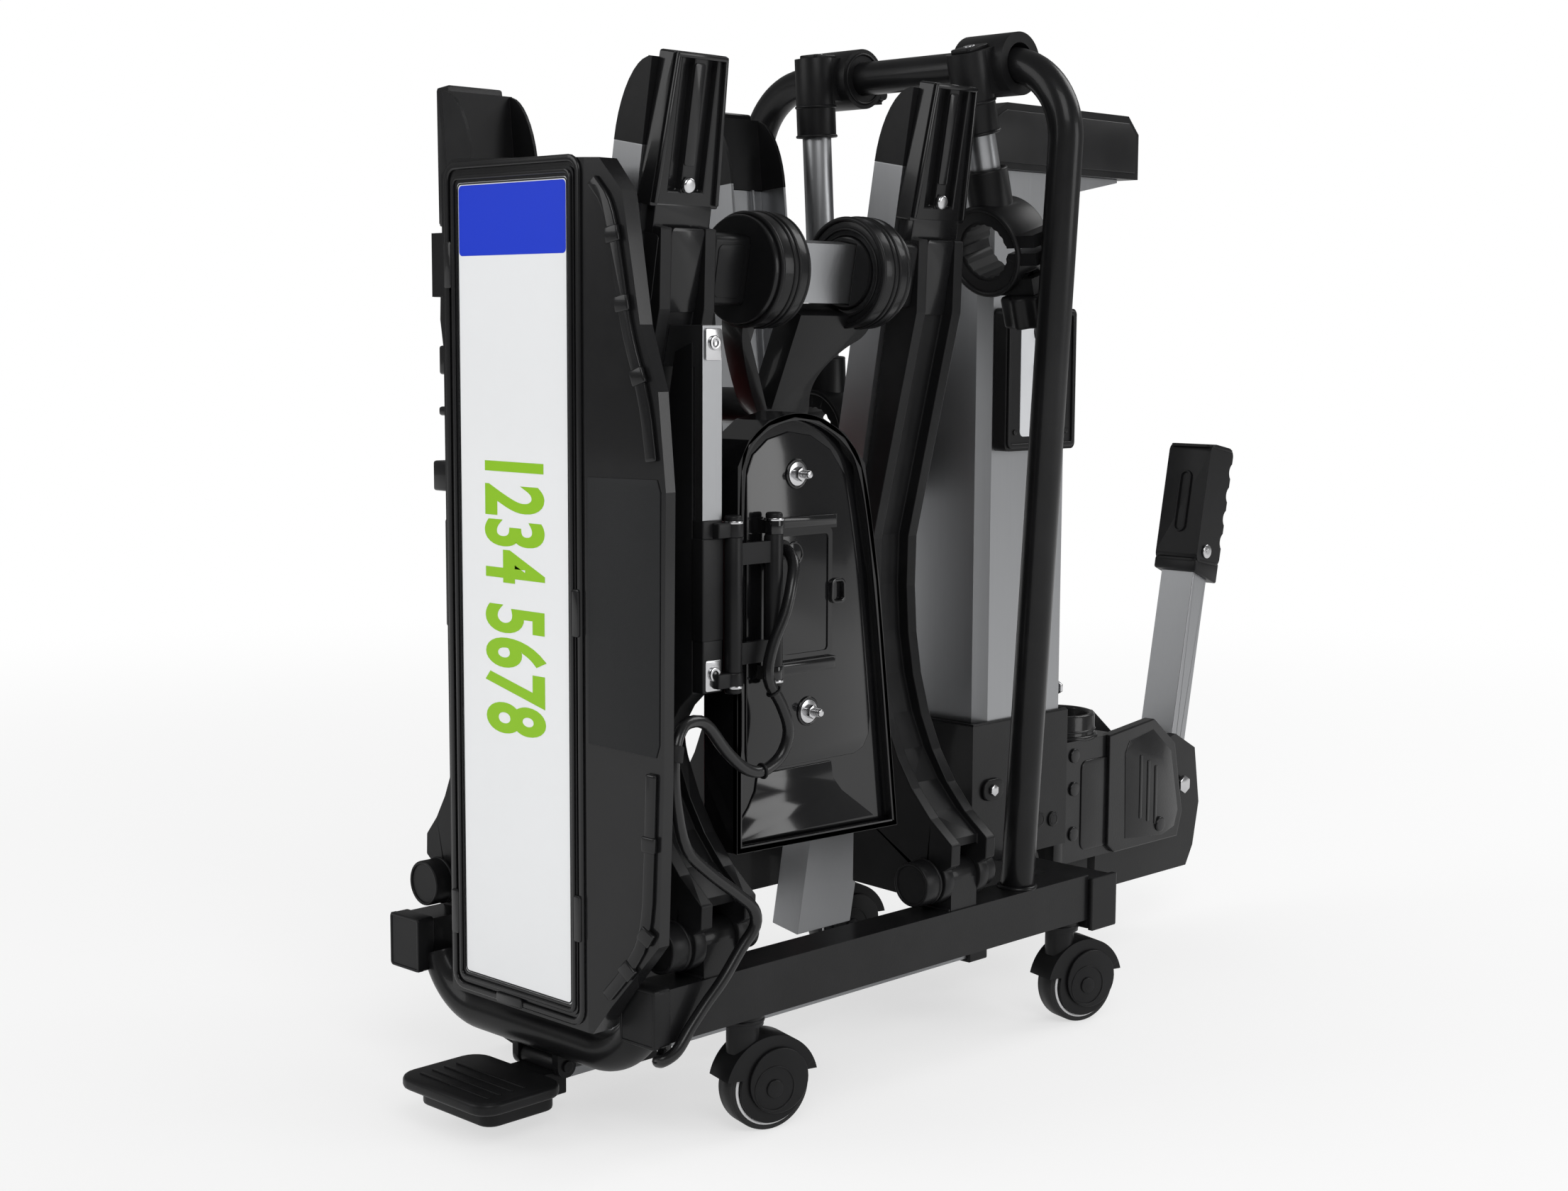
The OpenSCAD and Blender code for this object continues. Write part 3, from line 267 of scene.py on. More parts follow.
def circle(cx, cy, r, n):
    return [(cx + u, cy + v) for u, v in (polar(r, 360 * i / n) for i in range(n))]


def ribbon(points, width):
    """The outline of a band of one width along a line of 2D points."""
    left, right = [], []
    for i, p in enumerate(points):
        a, b = Vector(points[max(i - 1, 0)]), Vector(points[min(i + 1, len(points) - 1)])
        d = (b - a).normalized()
        n = Vector((-d.y, d.x)) * width / 2
        left.append(Vector(p) + n)
        right.append(Vector(p) - n)
    return left + right[::-1]


def rounded(a, b, r, n=5):
    """The corners of a rounded rectangle between two 2D corners, anticlockwise."""
    corners = ((b[0] - r, b[1] - r), (a[0] + r, b[1] - r), (a[0] + r, a[1] + r), (b[0] - r, a[1] + r))
    out = []
    for quarter, (cx, cy) in enumerate(corners):
        for i in range(n + 1):
            u, v = polar(r, 90 * quarter + 90 * i / n)
            out.append((cx + u, cy + v))
    return out


def cut(obj, tool):
    """Takes one form out of another and removes the tool."""
    only(obj)
    m = obj.modifiers.new("Cut", "BOOLEAN")
    m.object = tool
    m.solver = "EXACT"
    bpy.ops.object.modifier_apply(modifier="Cut")
    only(tool)
    bpy.ops.object.delete()


def join(forms, name):
    deselect()
    for form in forms:
        form.select_set(True)
    bpy.context.view_layer.objects.active = forms[0]
    if len(forms) > 1:
        bpy.ops.object.join()
    return named(name)


def piece(name, forms, finish, body):
    """Joins finished forms into one named piece with its finish, body and material slot."""
    obj = join(forms, name)
    obj.data.materials.clear()
    obj.data.materials.append(FINISH[finish])
    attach(obj, body)
    return obj


def both_sides(name, forms, finish, body):
    """A right-hand piece and its mirrored twin on the other side of the middle plane."""
    right = join(forms, name + "_right")
    bpy.ops.object.duplicate()
    left = named(name + "_left")
    left.scale = (-1, 1, 1)
    face_out(settle(left))
    smooth_by_angle()
    piece(name + "_left", [left], finish, body + "_left")
    piece(name + "_right", [right], finish, body + "_right")


def wing_matrix(side):
    """From a wing's own frame to the row frame: X away from the middle, Z along the wheel rail."""
    turn = Matrix.Translation(own(RAIL_X, 0, HINGE_Z)) @ Matrix.Rotation(math.radians(LEAN[side]), 4, "Y")
    return turn if side == "right" else Matrix.Scale(-1, 4, ACROSS) @ turn


def to_wing(forms, name, side):
    """Joins forms drawn in a wing's own frame and sets them in place."""
    obj = join(forms, name)
    obj.matrix_world = wing_matrix(side) @ obj.matrix_world
    return face_out(settle(obj))


def wing_piece(name, forms, side, finish):
    """A piece of a wing, from forms drawn in the wing's own frame."""
    obj = to_wing(forms, name, side)
    smooth_by_angle()
    return piece(name, [obj], finish, "wing_" + side)


# Finishes
def add_node(tree, kind, x, y, **values):
    """A shader node whose values set its sockets, or else its settings."""
    n = tree.nodes.new(kind)
    n.location = (x, y)
    for key, value in values.items():
        if key in n.inputs:
            n.inputs[key].default_value = value
        else:
            setattr(n, key, value)
    return n


def wire(tree, *runs):
    """Links sockets, each run given as node, output, node and input."""
    for a, out, b, into in runs:
        tree.links.new(a.outputs[out], b.inputs[into])


def empty_tree(owner):
    owner.use_nodes = True
    owner.node_tree.nodes.clear()
    return owner.node_tree


def group_io(name, inputs):
    """A node group that puts out colour, roughness and height."""
    tree = bpy.data.node_groups.new(name, "ShaderNodeTree")
    for label, kind, value in inputs:
        s = tree.interface.new_socket(name=label, in_out="INPUT", socket_type="NodeSocket" + kind)
        s.default_value = value
    for label, kind in (("Color", "Color"), ("Roughness", "Float"), ("Height", "Float")):
        tree.interface.new_socket(name=label, in_out="OUTPUT", socket_type="NodeSocket" + kind)
    return tree, add_node(tree, "NodeGroupInput", -900, 0), add_node(tree, "NodeGroupOutput", 700, 0)


# Sockets of a Mix node that mixes colours
MIX_SHARE, MIX_A, MIX_B, MIX_OUT = 0, 6, 7, 2
DUST_COLOUR = (0.3, 0.3, 0.31, 1)


def moulded_grain():
    """Fine grain with a little dust: colour, roughness and height from object coordinates."""
    tree, gin, gout = group_io("Moulded grain", (("Color", "Color", (0.03, 0.03, 0.03, 1)),
        ("Dust", "Float", 0.15), ("Scale", "Float", 900.0), ("Rough low", "Float", 0.3),
        ("Rough high", "Float", 0.45)))
    co = add_node(tree, "ShaderNodeTexCoord", -900, -300)
    fine = add_node(tree, "ShaderNodeTexNoise", -600, -300, Detail=3.0, Roughness=0.6)
    broad = add_node(tree, "ShaderNodeTexNoise", -600, 100, Scale=14.0, Detail=5.0, Roughness=0.65)
    mask = add_node(tree, "ShaderNodeMapRange", -380, 100, **{"From Min": 0.45, "From Max": 0.8})
    amount = add_node(tree, "ShaderNodeMath", -180, 100, operation="MULTIPLY")
    mix = add_node(tree, "ShaderNodeMix", 60, 100, data_type="RGBA")
    mix.inputs[MIX_B].default_value = DUST_COLOUR
    rough = add_node(tree, "ShaderNodeMapRange", 60, -120)
    wire(tree, (co, "Object", fine, "Vector"), (gin, "Scale", fine, "Scale"), (co, "Object", broad, "Vector"),
         (broad, "Fac", mask, "Value"), (mask, "Result", amount, 0), (gin, "Dust", amount, 1),
         (amount, 0, mix, MIX_SHARE), (gin, "Color", mix, MIX_A), (mix, MIX_OUT, gout, "Color"),
         (broad, "Fac", rough, "Value"), (gin, "Rough low", rough, "To Min"),
         (gin, "Rough high", rough, "To Max"), (rough, "Result", gout, "Roughness"),
         (fine, "Fac", gout, "Height"))
    return tree


def drawn_lines():
    """Long fine lines as an extruder leaves them, along one axis of the object."""
    tree, gin, gout = group_io("Drawn lines", (("Color", "Color", (0.7, 0.7, 0.72, 1)),
        ("Stretch", "Vector", (900.0, 900.0, 6.0)), ("Contrast", "Float", 0.12), ("Rough low", "Float", 0.22),
        ("Rough high", "Float", 0.4)))
    co = add_node(tree, "ShaderNodeTexCoord", -900, -300)
    scale = add_node(tree, "ShaderNodeVectorMath", -700, -300, operation="MULTIPLY")
    lines = add_node(tree, "ShaderNodeTexNoise", -480, -300, Scale=1.0, Detail=4.0, Roughness=0.7)
    tone = add_node(tree, "ShaderNodeMath", -240, 60, operation="MULTIPLY_ADD")
    tone.inputs[2].default_value = 0.94
    bright = add_node(tree, "ShaderNodeVectorMath", 60, 100, operation="SCALE")
    rough = add_node(tree, "ShaderNodeMapRange", 60, -120)
    wire(tree, (co, "Object", scale, 0), (gin, "Stretch", scale, 1), (scale, 0, lines, "Vector"),
         (lines, "Fac", tone, 0), (gin, "Contrast", tone, 1), (gin, "Color", bright, 0),
         (tone, 0, bright, "Scale"), (bright, 0, gout, "Color"), (lines, "Fac", rough, "Value"),
         (gin, "Rough low", rough, "To Min"), (gin, "Rough high", rough, "To Max"),
         (rough, "Result", gout, "Roughness"), (lines, "Fac", gout, "Height"))
    return tree


FINISH = {}


def make_finish(name, group, colour, bump, metallic=0.0, coat=0.0, specular=0.5, **values):
    """A material whose colour, roughness and bump come from one of the groups."""
    mat = bpy.data.materials.new(name)
    tree = empty_tree(mat)
    out = add_node(tree, "ShaderNodeOutputMaterial", 600, 0)
    shader = add_node(tree, "ShaderNodeBsdfPrincipled", 300, 0, Metallic=metallic,
                      **{"Coat Weight": coat, "Coat Roughness": 0.07, "Specular IOR Level": specular})
    node = add_node(tree, "ShaderNodeGroup", -300, 0, node_tree=group)
    node.inputs["Color"].default_value = (*colour, 1)
    for key, value in values.items():
        node.inputs[key.replace("_", " ")].default_value = value
    ripple = add_node(tree, "ShaderNodeBump", 60, -220, Strength=1.0, Distance=bump)
    wire(tree, (node, "Color", shader, "Base Color"), (node, "Roughness", shader, "Roughness"),
         (node, "Height", ripple, "Height"), (ripple, "Normal", shader, "Normal"),
         (shader, "BSDF", out, "Surface"))
    FINISH[name] = mat


# Colour, bump in mm, coat, specular level, grain scale, lowest and highest roughness, dust
MOULDED = {
    "Powder-coated steel": ("black", 0.06, 0.12, 0.18, 700, 0.26, 0.36, 0.02),
    "Moulded black": ("black", 0.05, 0.0, 0.2, 1600, 0.3, 0.44, 0.02),
    "Moulded black, glossy": ("black", 0.02, 0.2, 0.25, 1200, 0.16, 0.26, 0.012),
    "Gloss black": ((0.004, 0.004, 0.0045), 0.008, 0.4, 0.28, 400, 0.09, 0.16, 0.01),
    "Cast black": ("black", 0.08, 0.25, 0.22, 500, 0.24, 0.36, 0.03),
    "Rubber": ("black", 0.05, 0.0, 0.25, 900, 0.5, 0.65, 0.04),
    "Tread": ((0.012, 0.012, 0.0125), 0.04, 0.0, 0.3, 700, 0.32, 0.46, 0.03),
    "Cable sheath": ("black", 0.02, 0.15, 0.35, 900, 0.22, 0.34, 0.01),
    "Panel dark": ((0.017, 0.0175, 0.0185), 0.08, 0.0, 0.2, 1500, 0.5, 0.62, 0.01),
    "Plate white": ((0.86, 0.87, 0.88), 0.008, 0.3, 0.4, 2500, 0.3, 0.4, 0.02),
    "Plate blue": ("strip", 0.008, 0.1, 0.3, 2500, 0.3, 0.4, 0.0),
    "Plate green": ("digits", 0.008, 0.0, 0.3, 2500, 0.3, 0.4, 0.0),
    "Hub pale": ((0.72, 0.72, 0.73), 0.02, 0.0, 0.4, 900, 0.3, 0.4, 0.03),
    "Panel light": ((0.66, 0.67, 0.69), 0.01, 0.0, 0.4, 900, 0.35, 0.45, 0.03),
    "Button grey": ((0.27, 0.28, 0.3), 0.02, 0.0, 0.4, 1200, 0.35, 0.5, 0.03),
    "Lamp red": ((0.2, 0.005, 0.005), 0.02, 0.7, 0.4, 60, 0.08, 0.14, 0.0),
}
# Colour, bump in mm, how closely the lines lie along each axis, lowest and highest roughness
METALS = {
    "Drawn aluminium": (None, 0.02, (900, 900, 6), 0.3, 0.46),
    "Drawn aluminium, lengthways": (None, 0.02, (900, 6, 900), 0.3, 0.46),
    "Zinc": ((0.55, 0.55, 0.56), 0.01, (300, 300, 300), 0.14, 0.28),
}
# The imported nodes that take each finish, where * stands for any ending
CAD_FINISH = {
    "Powder-coated steel": "platform_frame bar_guides hoop stay_yoke yoke_sleeves column_foot "
        "carriage hook_plates",
    "Moulded black": "rail_end_caps hinge_bolts arms_* wheel_rail_caps_* column_head holder_head_* "
        "holder_jaw_* jaw_knob_* castor_fork_* lamp_link_* pedal control_panel lever_grip",
    "Moulded black, glossy": "plate_holder clamp_channels_*",
    "Gloss black": "lamp_tray_*",
    "Tread": "castor_wheel_*",
    "Drawn aluminium": "wheel_rails_* wing_tubes_* column_tube holder_tube_* lever_bar",
    "Drawn aluminium, lengthways": "release_bar",
    "Zinc": "lead_screw",
    "Plate white": "number_plate",
    "Lamp red": "lamp_lens_*",
    "Button grey": "button_*",
    "Cast black": "coupling_body cheek_plates ball_jaw",
    "Cable sheath": "*_cable",
}
# Finishes of nodes that are round already, and of nodes whose edges are crisp
ROUND = ("Tread", "Cable sheath")
CRISP = ("Drawn", "Zinc", "Plate", "Button")
CRISP_EDGE = 0.0005


class RackLook(bpy.types.PropertyGroup):
    """The rack's main colours and the rounding of its edges"""
    black: bpy.props.FloatVectorProperty(name="Black", description="Colour of the moulded and painted parts",
        subtype="COLOR", size=3, default=(0.007, 0.007, 0.0075), min=0, max=1)
    metal: bpy.props.FloatVectorProperty(name="Aluminium", description="Colour of the drawn aluminium",
        subtype="COLOR", size=3, default=(0.34, 0.345, 0.355), min=0, max=1)
    strip: bpy.props.FloatVectorProperty(name="Plate strip", description="Colour of the plate's strip",
        subtype="COLOR", size=3, default=(0.002, 0.035, 0.6), min=0, max=1)
    digits: bpy.props.FloatVectorProperty(name="Plate digits", description="Colour of the plate's digits",
        subtype="COLOR", size=3, default=(0.27, 0.55, 0.01), min=0, max=1)
    edge: bpy.props.FloatProperty(name="Edge rounding", description="Rounding of the moulded parts' edges",
        subtype="DISTANCE", default=0.0012, min=0, max=0.003)


class RackStage(bpy.types.PropertyGroup):
    """The studio's lens and lamp power"""
    lens: bpy.props.FloatProperty(name="Lens", description="Focal length on a 36 mm wide frame",
        default=52.13, min=20, max=200)
    lamp_power: bpy.props.FloatProperty(name="Lamp power", description="Power of the main light in watts",
        default=31.0, min=0, max=500)


def dress_node(obj, finish, edge):
    """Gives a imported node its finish, and rounds its edges unless the node is round already."""
    obj.data.materials.clear()
    obj.data.materials.append(FINISH[finish])
    weld = obj.modifiers.new("Weld", "WELD")
    weld.merge_threshold = 0.00001
    if finish in ROUND:
        return
    edges = obj.modifiers.new("Edges", "BEVEL")
    edges.width = CRISP_EDGE if finish.startswith(CRISP) else edge
    edges.segments = 2
    edges.limit_method = "ANGLE"
    edges.angle_limit = math.radians(38)
    edges.use_clamp_overlap = True


class RACK_OT_finishes(bpy.types.Operator):
    """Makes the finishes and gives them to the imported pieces"""
    bl_idname = "rack.finishes"
    bl_label = "Finishes"

    def execute(self, context):
        look = context.scene.rack_look
        grain, lines = moulded_grain(), drawn_lines()
        chosen = {"black": tuple(look.black), "strip": tuple(look.strip), "digits": tuple(look.digits)}
        for name, (colour, bump, coat, specular, scale, low, high, dust) in MOULDED.items():
            make_finish(name, grain, chosen.get(colour, colour), bump / 1000, coat=coat, specular=specular,
                        Scale=scale, Rough_low=low, Rough_high=high, Dust=dust)
        for name, (colour, bump, stretch, low, high) in METALS.items():
            make_finish(name, lines, colour or tuple(look.metal), bump / 1000, metallic=1.0, Stretch=stretch,
                        Rough_low=low, Rough_high=high)
        for finish, patterns in CAD_FINISH.items():
            for pattern in patterns.split():
                for name in fnmatch.filter(NODES, pattern):
                    dress_node(NODES[name], finish, look.edge)
        return {"FINISHED"}


# How the floor's own white fades towards the rack, by the distance from its middle in metres
FLOOR_FADE = {"From Min": 0.7, "From Max": 2.6, "To Min": 0.62, "To Max": 1.0}
# Share of the floor's white that reflections show, the room's light, and how much less of it they show
FLOOR_SHINE = 0.35
ROOM_LIGHT = 0.5
ROOM_DIMMING = -0.3
# Name, place and size of each soft light in metres, and its share of the lamp power
LIGHTS = (("key", (2.2, -1.6, 2.4), 1.6, 1.0), ("fill", (-1.2, -2.4, 1.6), 1.6, 0.6),
          ("back", (0.6, 2.2, 2.2), 1.4, 0.7), ("side", (2.6, 1.2, 0.9), 1.2, 0.5))
LIGHT_TARGET = Vector((0, 0, 0.35))
# The camera's place in millimetres, and its turn, drop and roll in degrees
CAMERA_PLACE = (1160.2, -907.0, 526.6)
CAMERA_TURN, CAMERA_DROP, CAMERA_ROLL = 44.47, 6.65, 0.27
WHITE = (1, 1, 1, 1)


def floor_material():
    """White to the camera, dimmer in reflections, and a plain pale floor to all other light."""
    pale = bpy.data.materials.new("Studio white")
    tree = empty_tree(pale)
    out = add_node(tree, "ShaderNodeOutputMaterial", 500, 0)
    diffuse = add_node(tree, "ShaderNodeBsdfDiffuse", 0, 0, Color=(0.96, 0.96, 0.96, 1))
    glow = add_node(tree, "ShaderNodeEmission", 0, -150, Color=WHITE, Strength=1.0)
    mix = add_node(tree, "ShaderNodeMixShader", 260, 0)
    path = add_node(tree, "ShaderNodeLightPath", -700, 200)
    shine = add_node(tree, "ShaderNodeMath", -520, 320, operation="MULTIPLY")
    shine.inputs[1].default_value = FLOOR_SHINE
    either = add_node(tree, "ShaderNodeMath", -350, 200, operation="MAXIMUM")
    spot = add_node(tree, "ShaderNodeTexCoord", -900, -100)
    reach = add_node(tree, "ShaderNodeVectorMath", -700, -100, operation="LENGTH")
    fade = add_node(tree, "ShaderNodeMapRange", -500, -100, interpolation_type="SMOOTHSTEP", **FLOOR_FADE)
    share = add_node(tree, "ShaderNodeMath", -180, 200, operation="MULTIPLY")
    wire(tree, (path, "Is Glossy Ray", shine, 0), (path, "Is Camera Ray", either, 0), (shine, 0, either, 1),
         (spot, "Object", reach, 0), (reach, "Value", fade, "Value"), (either, 0, share, 0),
         (fade, "Result", share, 1), (share, 0, mix, "Fac"), (diffuse, 0, mix, 1), (glow, 0, mix, 2),
         (mix, 0, out, "Surface"))
    return pale


def studio_world():
    """A plain white room: full white to the camera, softer as light and dimmer in reflections."""
    world = bpy.data.worlds.new("Studio")
    tree = empty_tree(world)
    out = add_node(tree, "ShaderNodeOutputWorld", 500, 0)
    soft = add_node(tree, "ShaderNodeBackground", 0, 0, Color=WHITE)
    white = add_node(tree, "ShaderNodeBackground", 0, -150, Color=WHITE, Strength=1.0)
    mix = add_node(tree, "ShaderNodeMixShader", 260, 0)
    path = add_node(tree, "ShaderNodeLightPath", -500, 200)
    dim = add_node(tree, "ShaderNodeMath", -250, -200, operation="MULTIPLY_ADD")
    dim.inputs[1].default_value = ROOM_DIMMING
    dim.inputs[2].default_value = ROOM_LIGHT
    wire(tree, (path, "Is Glossy Ray", dim, 0), (dim, 0, soft, "Strength"),
         (path, "Is Camera Ray", mix, "Fac"), (soft, 0, mix, 1), (white, 0, mix, 2),
         (mix, 0, out, "Surface"))
    return world


class RACK_OT_stage(bpy.types.Operator):
    """Builds the studio: floor, backdrop, lamps and camera"""
    bl_idname = "rack.stage"
    bl_label = "Studio"

    def execute(self, context):
        stage = context.scene.rack_stage
        deselect()
        bpy.ops.mesh.primitive_plane_add(size=14, location=(0, 0, 0))
        floor = settle(named("studio_floor"))
        floor.data.materials.append(floor_material())
        context.scene.world = studio_world()
        for name, place, size, power in LIGHTS:
            deselect()
            bpy.ops.object.light_add(type="AREA", location=place)
            lamp = bpy.context.object
            lamp.name = "studio_" + name
            lamp.data.shape = "SQUARE"
            lamp.data.size = size
            lamp.data.energy = stage.lamp_power * power
            lamp.rotation_euler = (LIGHT_TARGET - Vector(place)).to_track_quat("-Z", "Y").to_euler()
        deselect()
        bpy.ops.object.camera_add()
        camera = bpy.context.object
        camera.name = "photo_camera"
        camera.data.lens = stage.lens
        camera.data.sensor_width = 36
        camera.data.clip_end = 50
        turn = Matrix.Rotation(math.radians(CAMERA_TURN), 4, "Z")
        tilt = Matrix.Rotation(math.radians(90 - CAMERA_DROP), 4, "X")
        roll = Matrix.Rotation(math.radians(CAMERA_ROLL), 4, "Z")
        camera.matrix_world = Matrix.Translation(mm(*CAMERA_PLACE)) @ turn @ tilt @ roll
        context.scene.camera = camera
        context.scene.view_settings.view_transform = "Standard"
        return {"FINISHED"}


# The two free cables' routes, in millimetres
LAMP_ROUTE = ((115.8, 152, 384), (124, 152, 383), (133, 148, 376), (139, 140, 362), (140, 133, 344),
    (138, 124, 324), (138, 120, 304), (140, 130, 286), (141, 136, 268), (140, 130, 252), (139, 114, 244),
    (139, 98, 248), (140, 80, 262), (142, 60, 282), (144, 42, 284), (147, 32, 276), (148, 29, 268))
WING_ROUTE = ((148.2, 28.6, 266.4), (149, 27, 256), (150, 28, 236), (150, 36, 208), (151, 54, 190),
    (152, 78, 172), (153, 92, 160), (153, 94, 148), (150, 84, 134), (148, 70, 116), (145, 58, 102),
    (143, 46, 88), (142, 36, 76), (137, 30, 70), (129, 32, 67), (124, 38, 66), (122.5, 43, 70),
    (122.5, 44, 75), (122.5, 44, 79.8))
CABLE_THICK = 0.008


def smooth_route(route):
    """A denser route through the same points, and its length."""
    pts = [mm(*p) for p in route]
    out = []
    for i in range(len(pts) - 1):
        a, b, c, d = pts[max(i - 1, 0)], pts[i], pts[i + 1], pts[min(i + 2, len(pts) - 1)]
        for k in range(4):
            s = k / 4
            out.append(0.5 * (2 * b + (c - a) * s + (2 * a - 5 * b + 4 * c - d) * s * s
                              + (3 * b - a - 3 * c + d) * s * s * s))
    out.append(pts[-1])
    return out, sum((q - p).length for p, q in zip(out, out[1:]))


def make_cord(name, route, node, body):
    """One cable as a round curve of its real length."""
    points, length = smooth_route(route)
    curve = bpy.data.curves.new(name, "CURVE")
    curve.dimensions = "3D"
    curve.bevel_depth = CABLE_THICK / 2
    curve.bevel_resolution = 4
    curve.use_fill_caps = True
    spline = curve.splines.new("POLY")
    spline.points.add(len(points) - 1)
    for target, point in zip(spline.points, points):
        target.co = (*point, 1)
    obj = bpy.data.objects.new(name, curve)
    bpy.context.scene.collection.objects.link(obj)
    curve.materials.append(FINISH["Cable sheath"])
    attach(obj, body)
    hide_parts(node)


class RACK_OT_cables(bpy.types.Operator):
    """Lays the lamp's cable and the cable that leads on to the platform"""
    bl_idname = "rack.cables"
    bl_label = "Cables"

    def execute(self, context):
        make_cord("cable_to_lamp", LAMP_ROUTE, "lamp_cable", "wing_right")
        make_cord("cable_to_platform", WING_ROUTE, "wing_cable", "platform")
        return {"FINISHED"}


# Width and height of the line of digits, in metres
DIGITS_WIDE, DIGITS_HIGH = 0.176, 0.062


class RACK_OT_number_plate(bpy.types.Operator):
    """Puts the coloured strip, the edge line and plain digits on the number plate"""
    bl_idname = "rack.number_plate"
    bl_label = "Number plate"

    def execute(self, context):
        strip = slab(at_y(1, rounded((-25.6, 573.4), (80.6, 618), 3)), (0, -0.00022, 0))
        piece("plate_strip", [strip], "Plate blue", "wing_left")
        edge = frame_ring(at_y(1, rounded((-27, 100.5), (82, 619.5), 3.4)), 0.0009, (0, -0.0003, 0))
        piece("plate_edge", [edge], "Panel dark", "wing_left")
        deselect()
        bpy.ops.object.text_add()
        text = bpy.context.object
        text.data.body = "1234 5678"
        text.data.align_x = "CENTER"
        text.data.align_y = "CENTER"
        text.data.size = 0.09
        text.data.space_character = 1.06
        text.data.offset = 0.0028
        text.data.extrude = 0.00012
        text.data.resolution_u = 6
        bpy.ops.object.convert(target="MESH")
        text = bpy.context.object
        text.scale = (DIGITS_WIDE / text.dimensions.x, DIGITS_HIGH / text.dimensions.y, 1)
        settle(text)
        # The digits read down the plate and stand just proud of its face
        text.matrix_world = Matrix(((0, 1, 0, 0.0248), (0, 0, -1, 0.00088 - SHIFT), (-1, 0, 0, 0.3585),
                                    (0, 0, 0, 1)))
        piece("plate_digits", [settle(text)], "Plate green", "wing_left")
        return {"FINISHED"}


def on_flank(x, z, out=0.0):
    """A point on the holder's sloping flank, lifted by some millimetres."""
    return mm(x + 0.1275 * out, 2 + (x - 96.5) * 9 / 70 - 0.992 * out, z)


def flank_slab(outline, sunk, thick):
    """A plate on the holder's flank that starts some millimetres below or above it."""
    outward = on_flank(120, 300, 1) - on_flank(120, 300)
    return slab([on_flank(x, z, sunk) for x, z in outline], outward * thick)


class RACK_OT_plate_holder(bpy.types.Operator):
    """Adds the holder's beads, latches, flank ribs, bare panel and edge clips"""
    bl_idname = "rack.plate_holder"
    bl_label = "Plate holder"

    def execute(self, context):
        gloss = "Moulded black, glossy"
        bead = frame_ring(at_y(2.4, rounded((-41, 87.5), (94, 633), 11)), 0.0045, (0, -0.0024, 0))
        piece("holder_bead", [soften(bead, 0.0011)], gloss, "wing_left")
        inner = frame_ring(at_y(0.6, rounded((-32, 95.5), (87, 624.5), 6)), 0.0028, (0, -0.0018, 0))
        piece("holder_inner_bead", [soften(inner, 0.0007)], gloss, "wing_left")
        latches = []
        for x, z, wide, high in ((89, 352, 8, 30), (89, 158, 8, 30), (-36, 568, 8, 30), (-36, 140, 8, 30),
                                 (20, 90.5, 26, 7)):
            outline = rounded((x - wide / 2, z - high / 2), (x + wide / 2, z + high / 2), 2)
            latches.append(soften(slab(at_y(2.2, outline), (0, -0.0034, 0)), 0.0009, 2))
        piece("holder_latches", latches, gloss, "wing_left")
        panel = flank_slab(((98.5, 271), (153, 268), (155.5, 276), (156.5, 430), (154, 437.5), (98.5, 437)),
                           0.9, -1.2)
        piece("holder_bare_panel", [soften(panel, 0.0005, 2)], "Panel dark", "wing_left")
        upper = ((104, 617), (117.5, 602), (124.5, 566), (131, 527), (145, 487), (150.5, 448))
        lower = ((150, 258), (148.5, 214), (146, 156), (131, 132), (113, 112))
        ribs = [soften(flank_slab(ribbon(eased(line, 2), 8), -0.5, 3.6), 0.0015) for line in (upper, lower)]
        # Short thicker knots stand along each rib, at these shares of its length
        for line, spots in ((upper, (0.3, 0.52, 0.74)), (lower, (0.25, 0.5, 0.75))):
            for share in spots:
                at = share * (len(line) - 1)
                k = int(at)
                a, b = Vector(line[k]), Vector(line[k + 1])
                middle = a.lerp(b, at - k)
                half = (b - a).normalized() * 5
                knot = flank_slab(ribbon((middle - half, middle + half), 10.5), 0.5, 3.6)
                ribs.append(soften(knot, 0.0011))
        piece("holder_flank_ribs", ribs, gloss, "wing_left")
        clips = [soften(block(mm(x, 6, z0), mm(-44, y1, z1)), 0.0018)
                 for x, z0, z1, y1 in ((-56, 497, 516, 16), (-64, 420, 440, 17), (-52, 330, 402, 14),
                                       (-57, 470, 476, 12))]
        piece("holder_edge_clips", clips, gloss, "wing_left")
        return {"FINISHED"}


def threaded_stud(foot, tip, radius):
    """The forms of a washer, a hexagon nut and a thread with a rounded end."""
    d = (tip - foot).normalized()
    washer = soften(drum(foot, foot + d * 0.0016, 0.008, 40), 0.0004, 2)
    nut = soften(drum(foot + d * 0.001, foot + d * 0.0062, radius * 1.9, 6), 0.0005, 2)
    thread = soften(drum(foot, tip, radius, 24), radius * 0.35)
    turns = int((tip - foot).length / 0.0014) - 5
    return [washer, nut, thread] + [ring(foot + d * (0.0075 + 0.0013 * i), d, radius, 0.00032, 20, 6)
                                    for i in range(turns)]


def sunk_head(x0, x1, y, z):
    """A screw head across the rack with a round recess in its outer face."""
    head = drum(mm(x0, y, z), mm(x1, y, z), 0.0047, 28)
    edit_where(head, "FACE", lambda face: face.normal.x > 0.9)
    bpy.ops.mesh.inset(thickness=0.0024)
    bpy.ops.mesh.extrude_region_move(TRANSFORM_OT_translate={"value": (-0.0013, 0, 0)})
    leave_edit()
    return soften(head, 0.0005, 2)


# The lamps' hinge line beside the strut, the two rows of their links and the back plane of their trays
LINK_X = 127.5
LINK_ROWS = (98.5, 135.5)
TRAY_X = 115.3


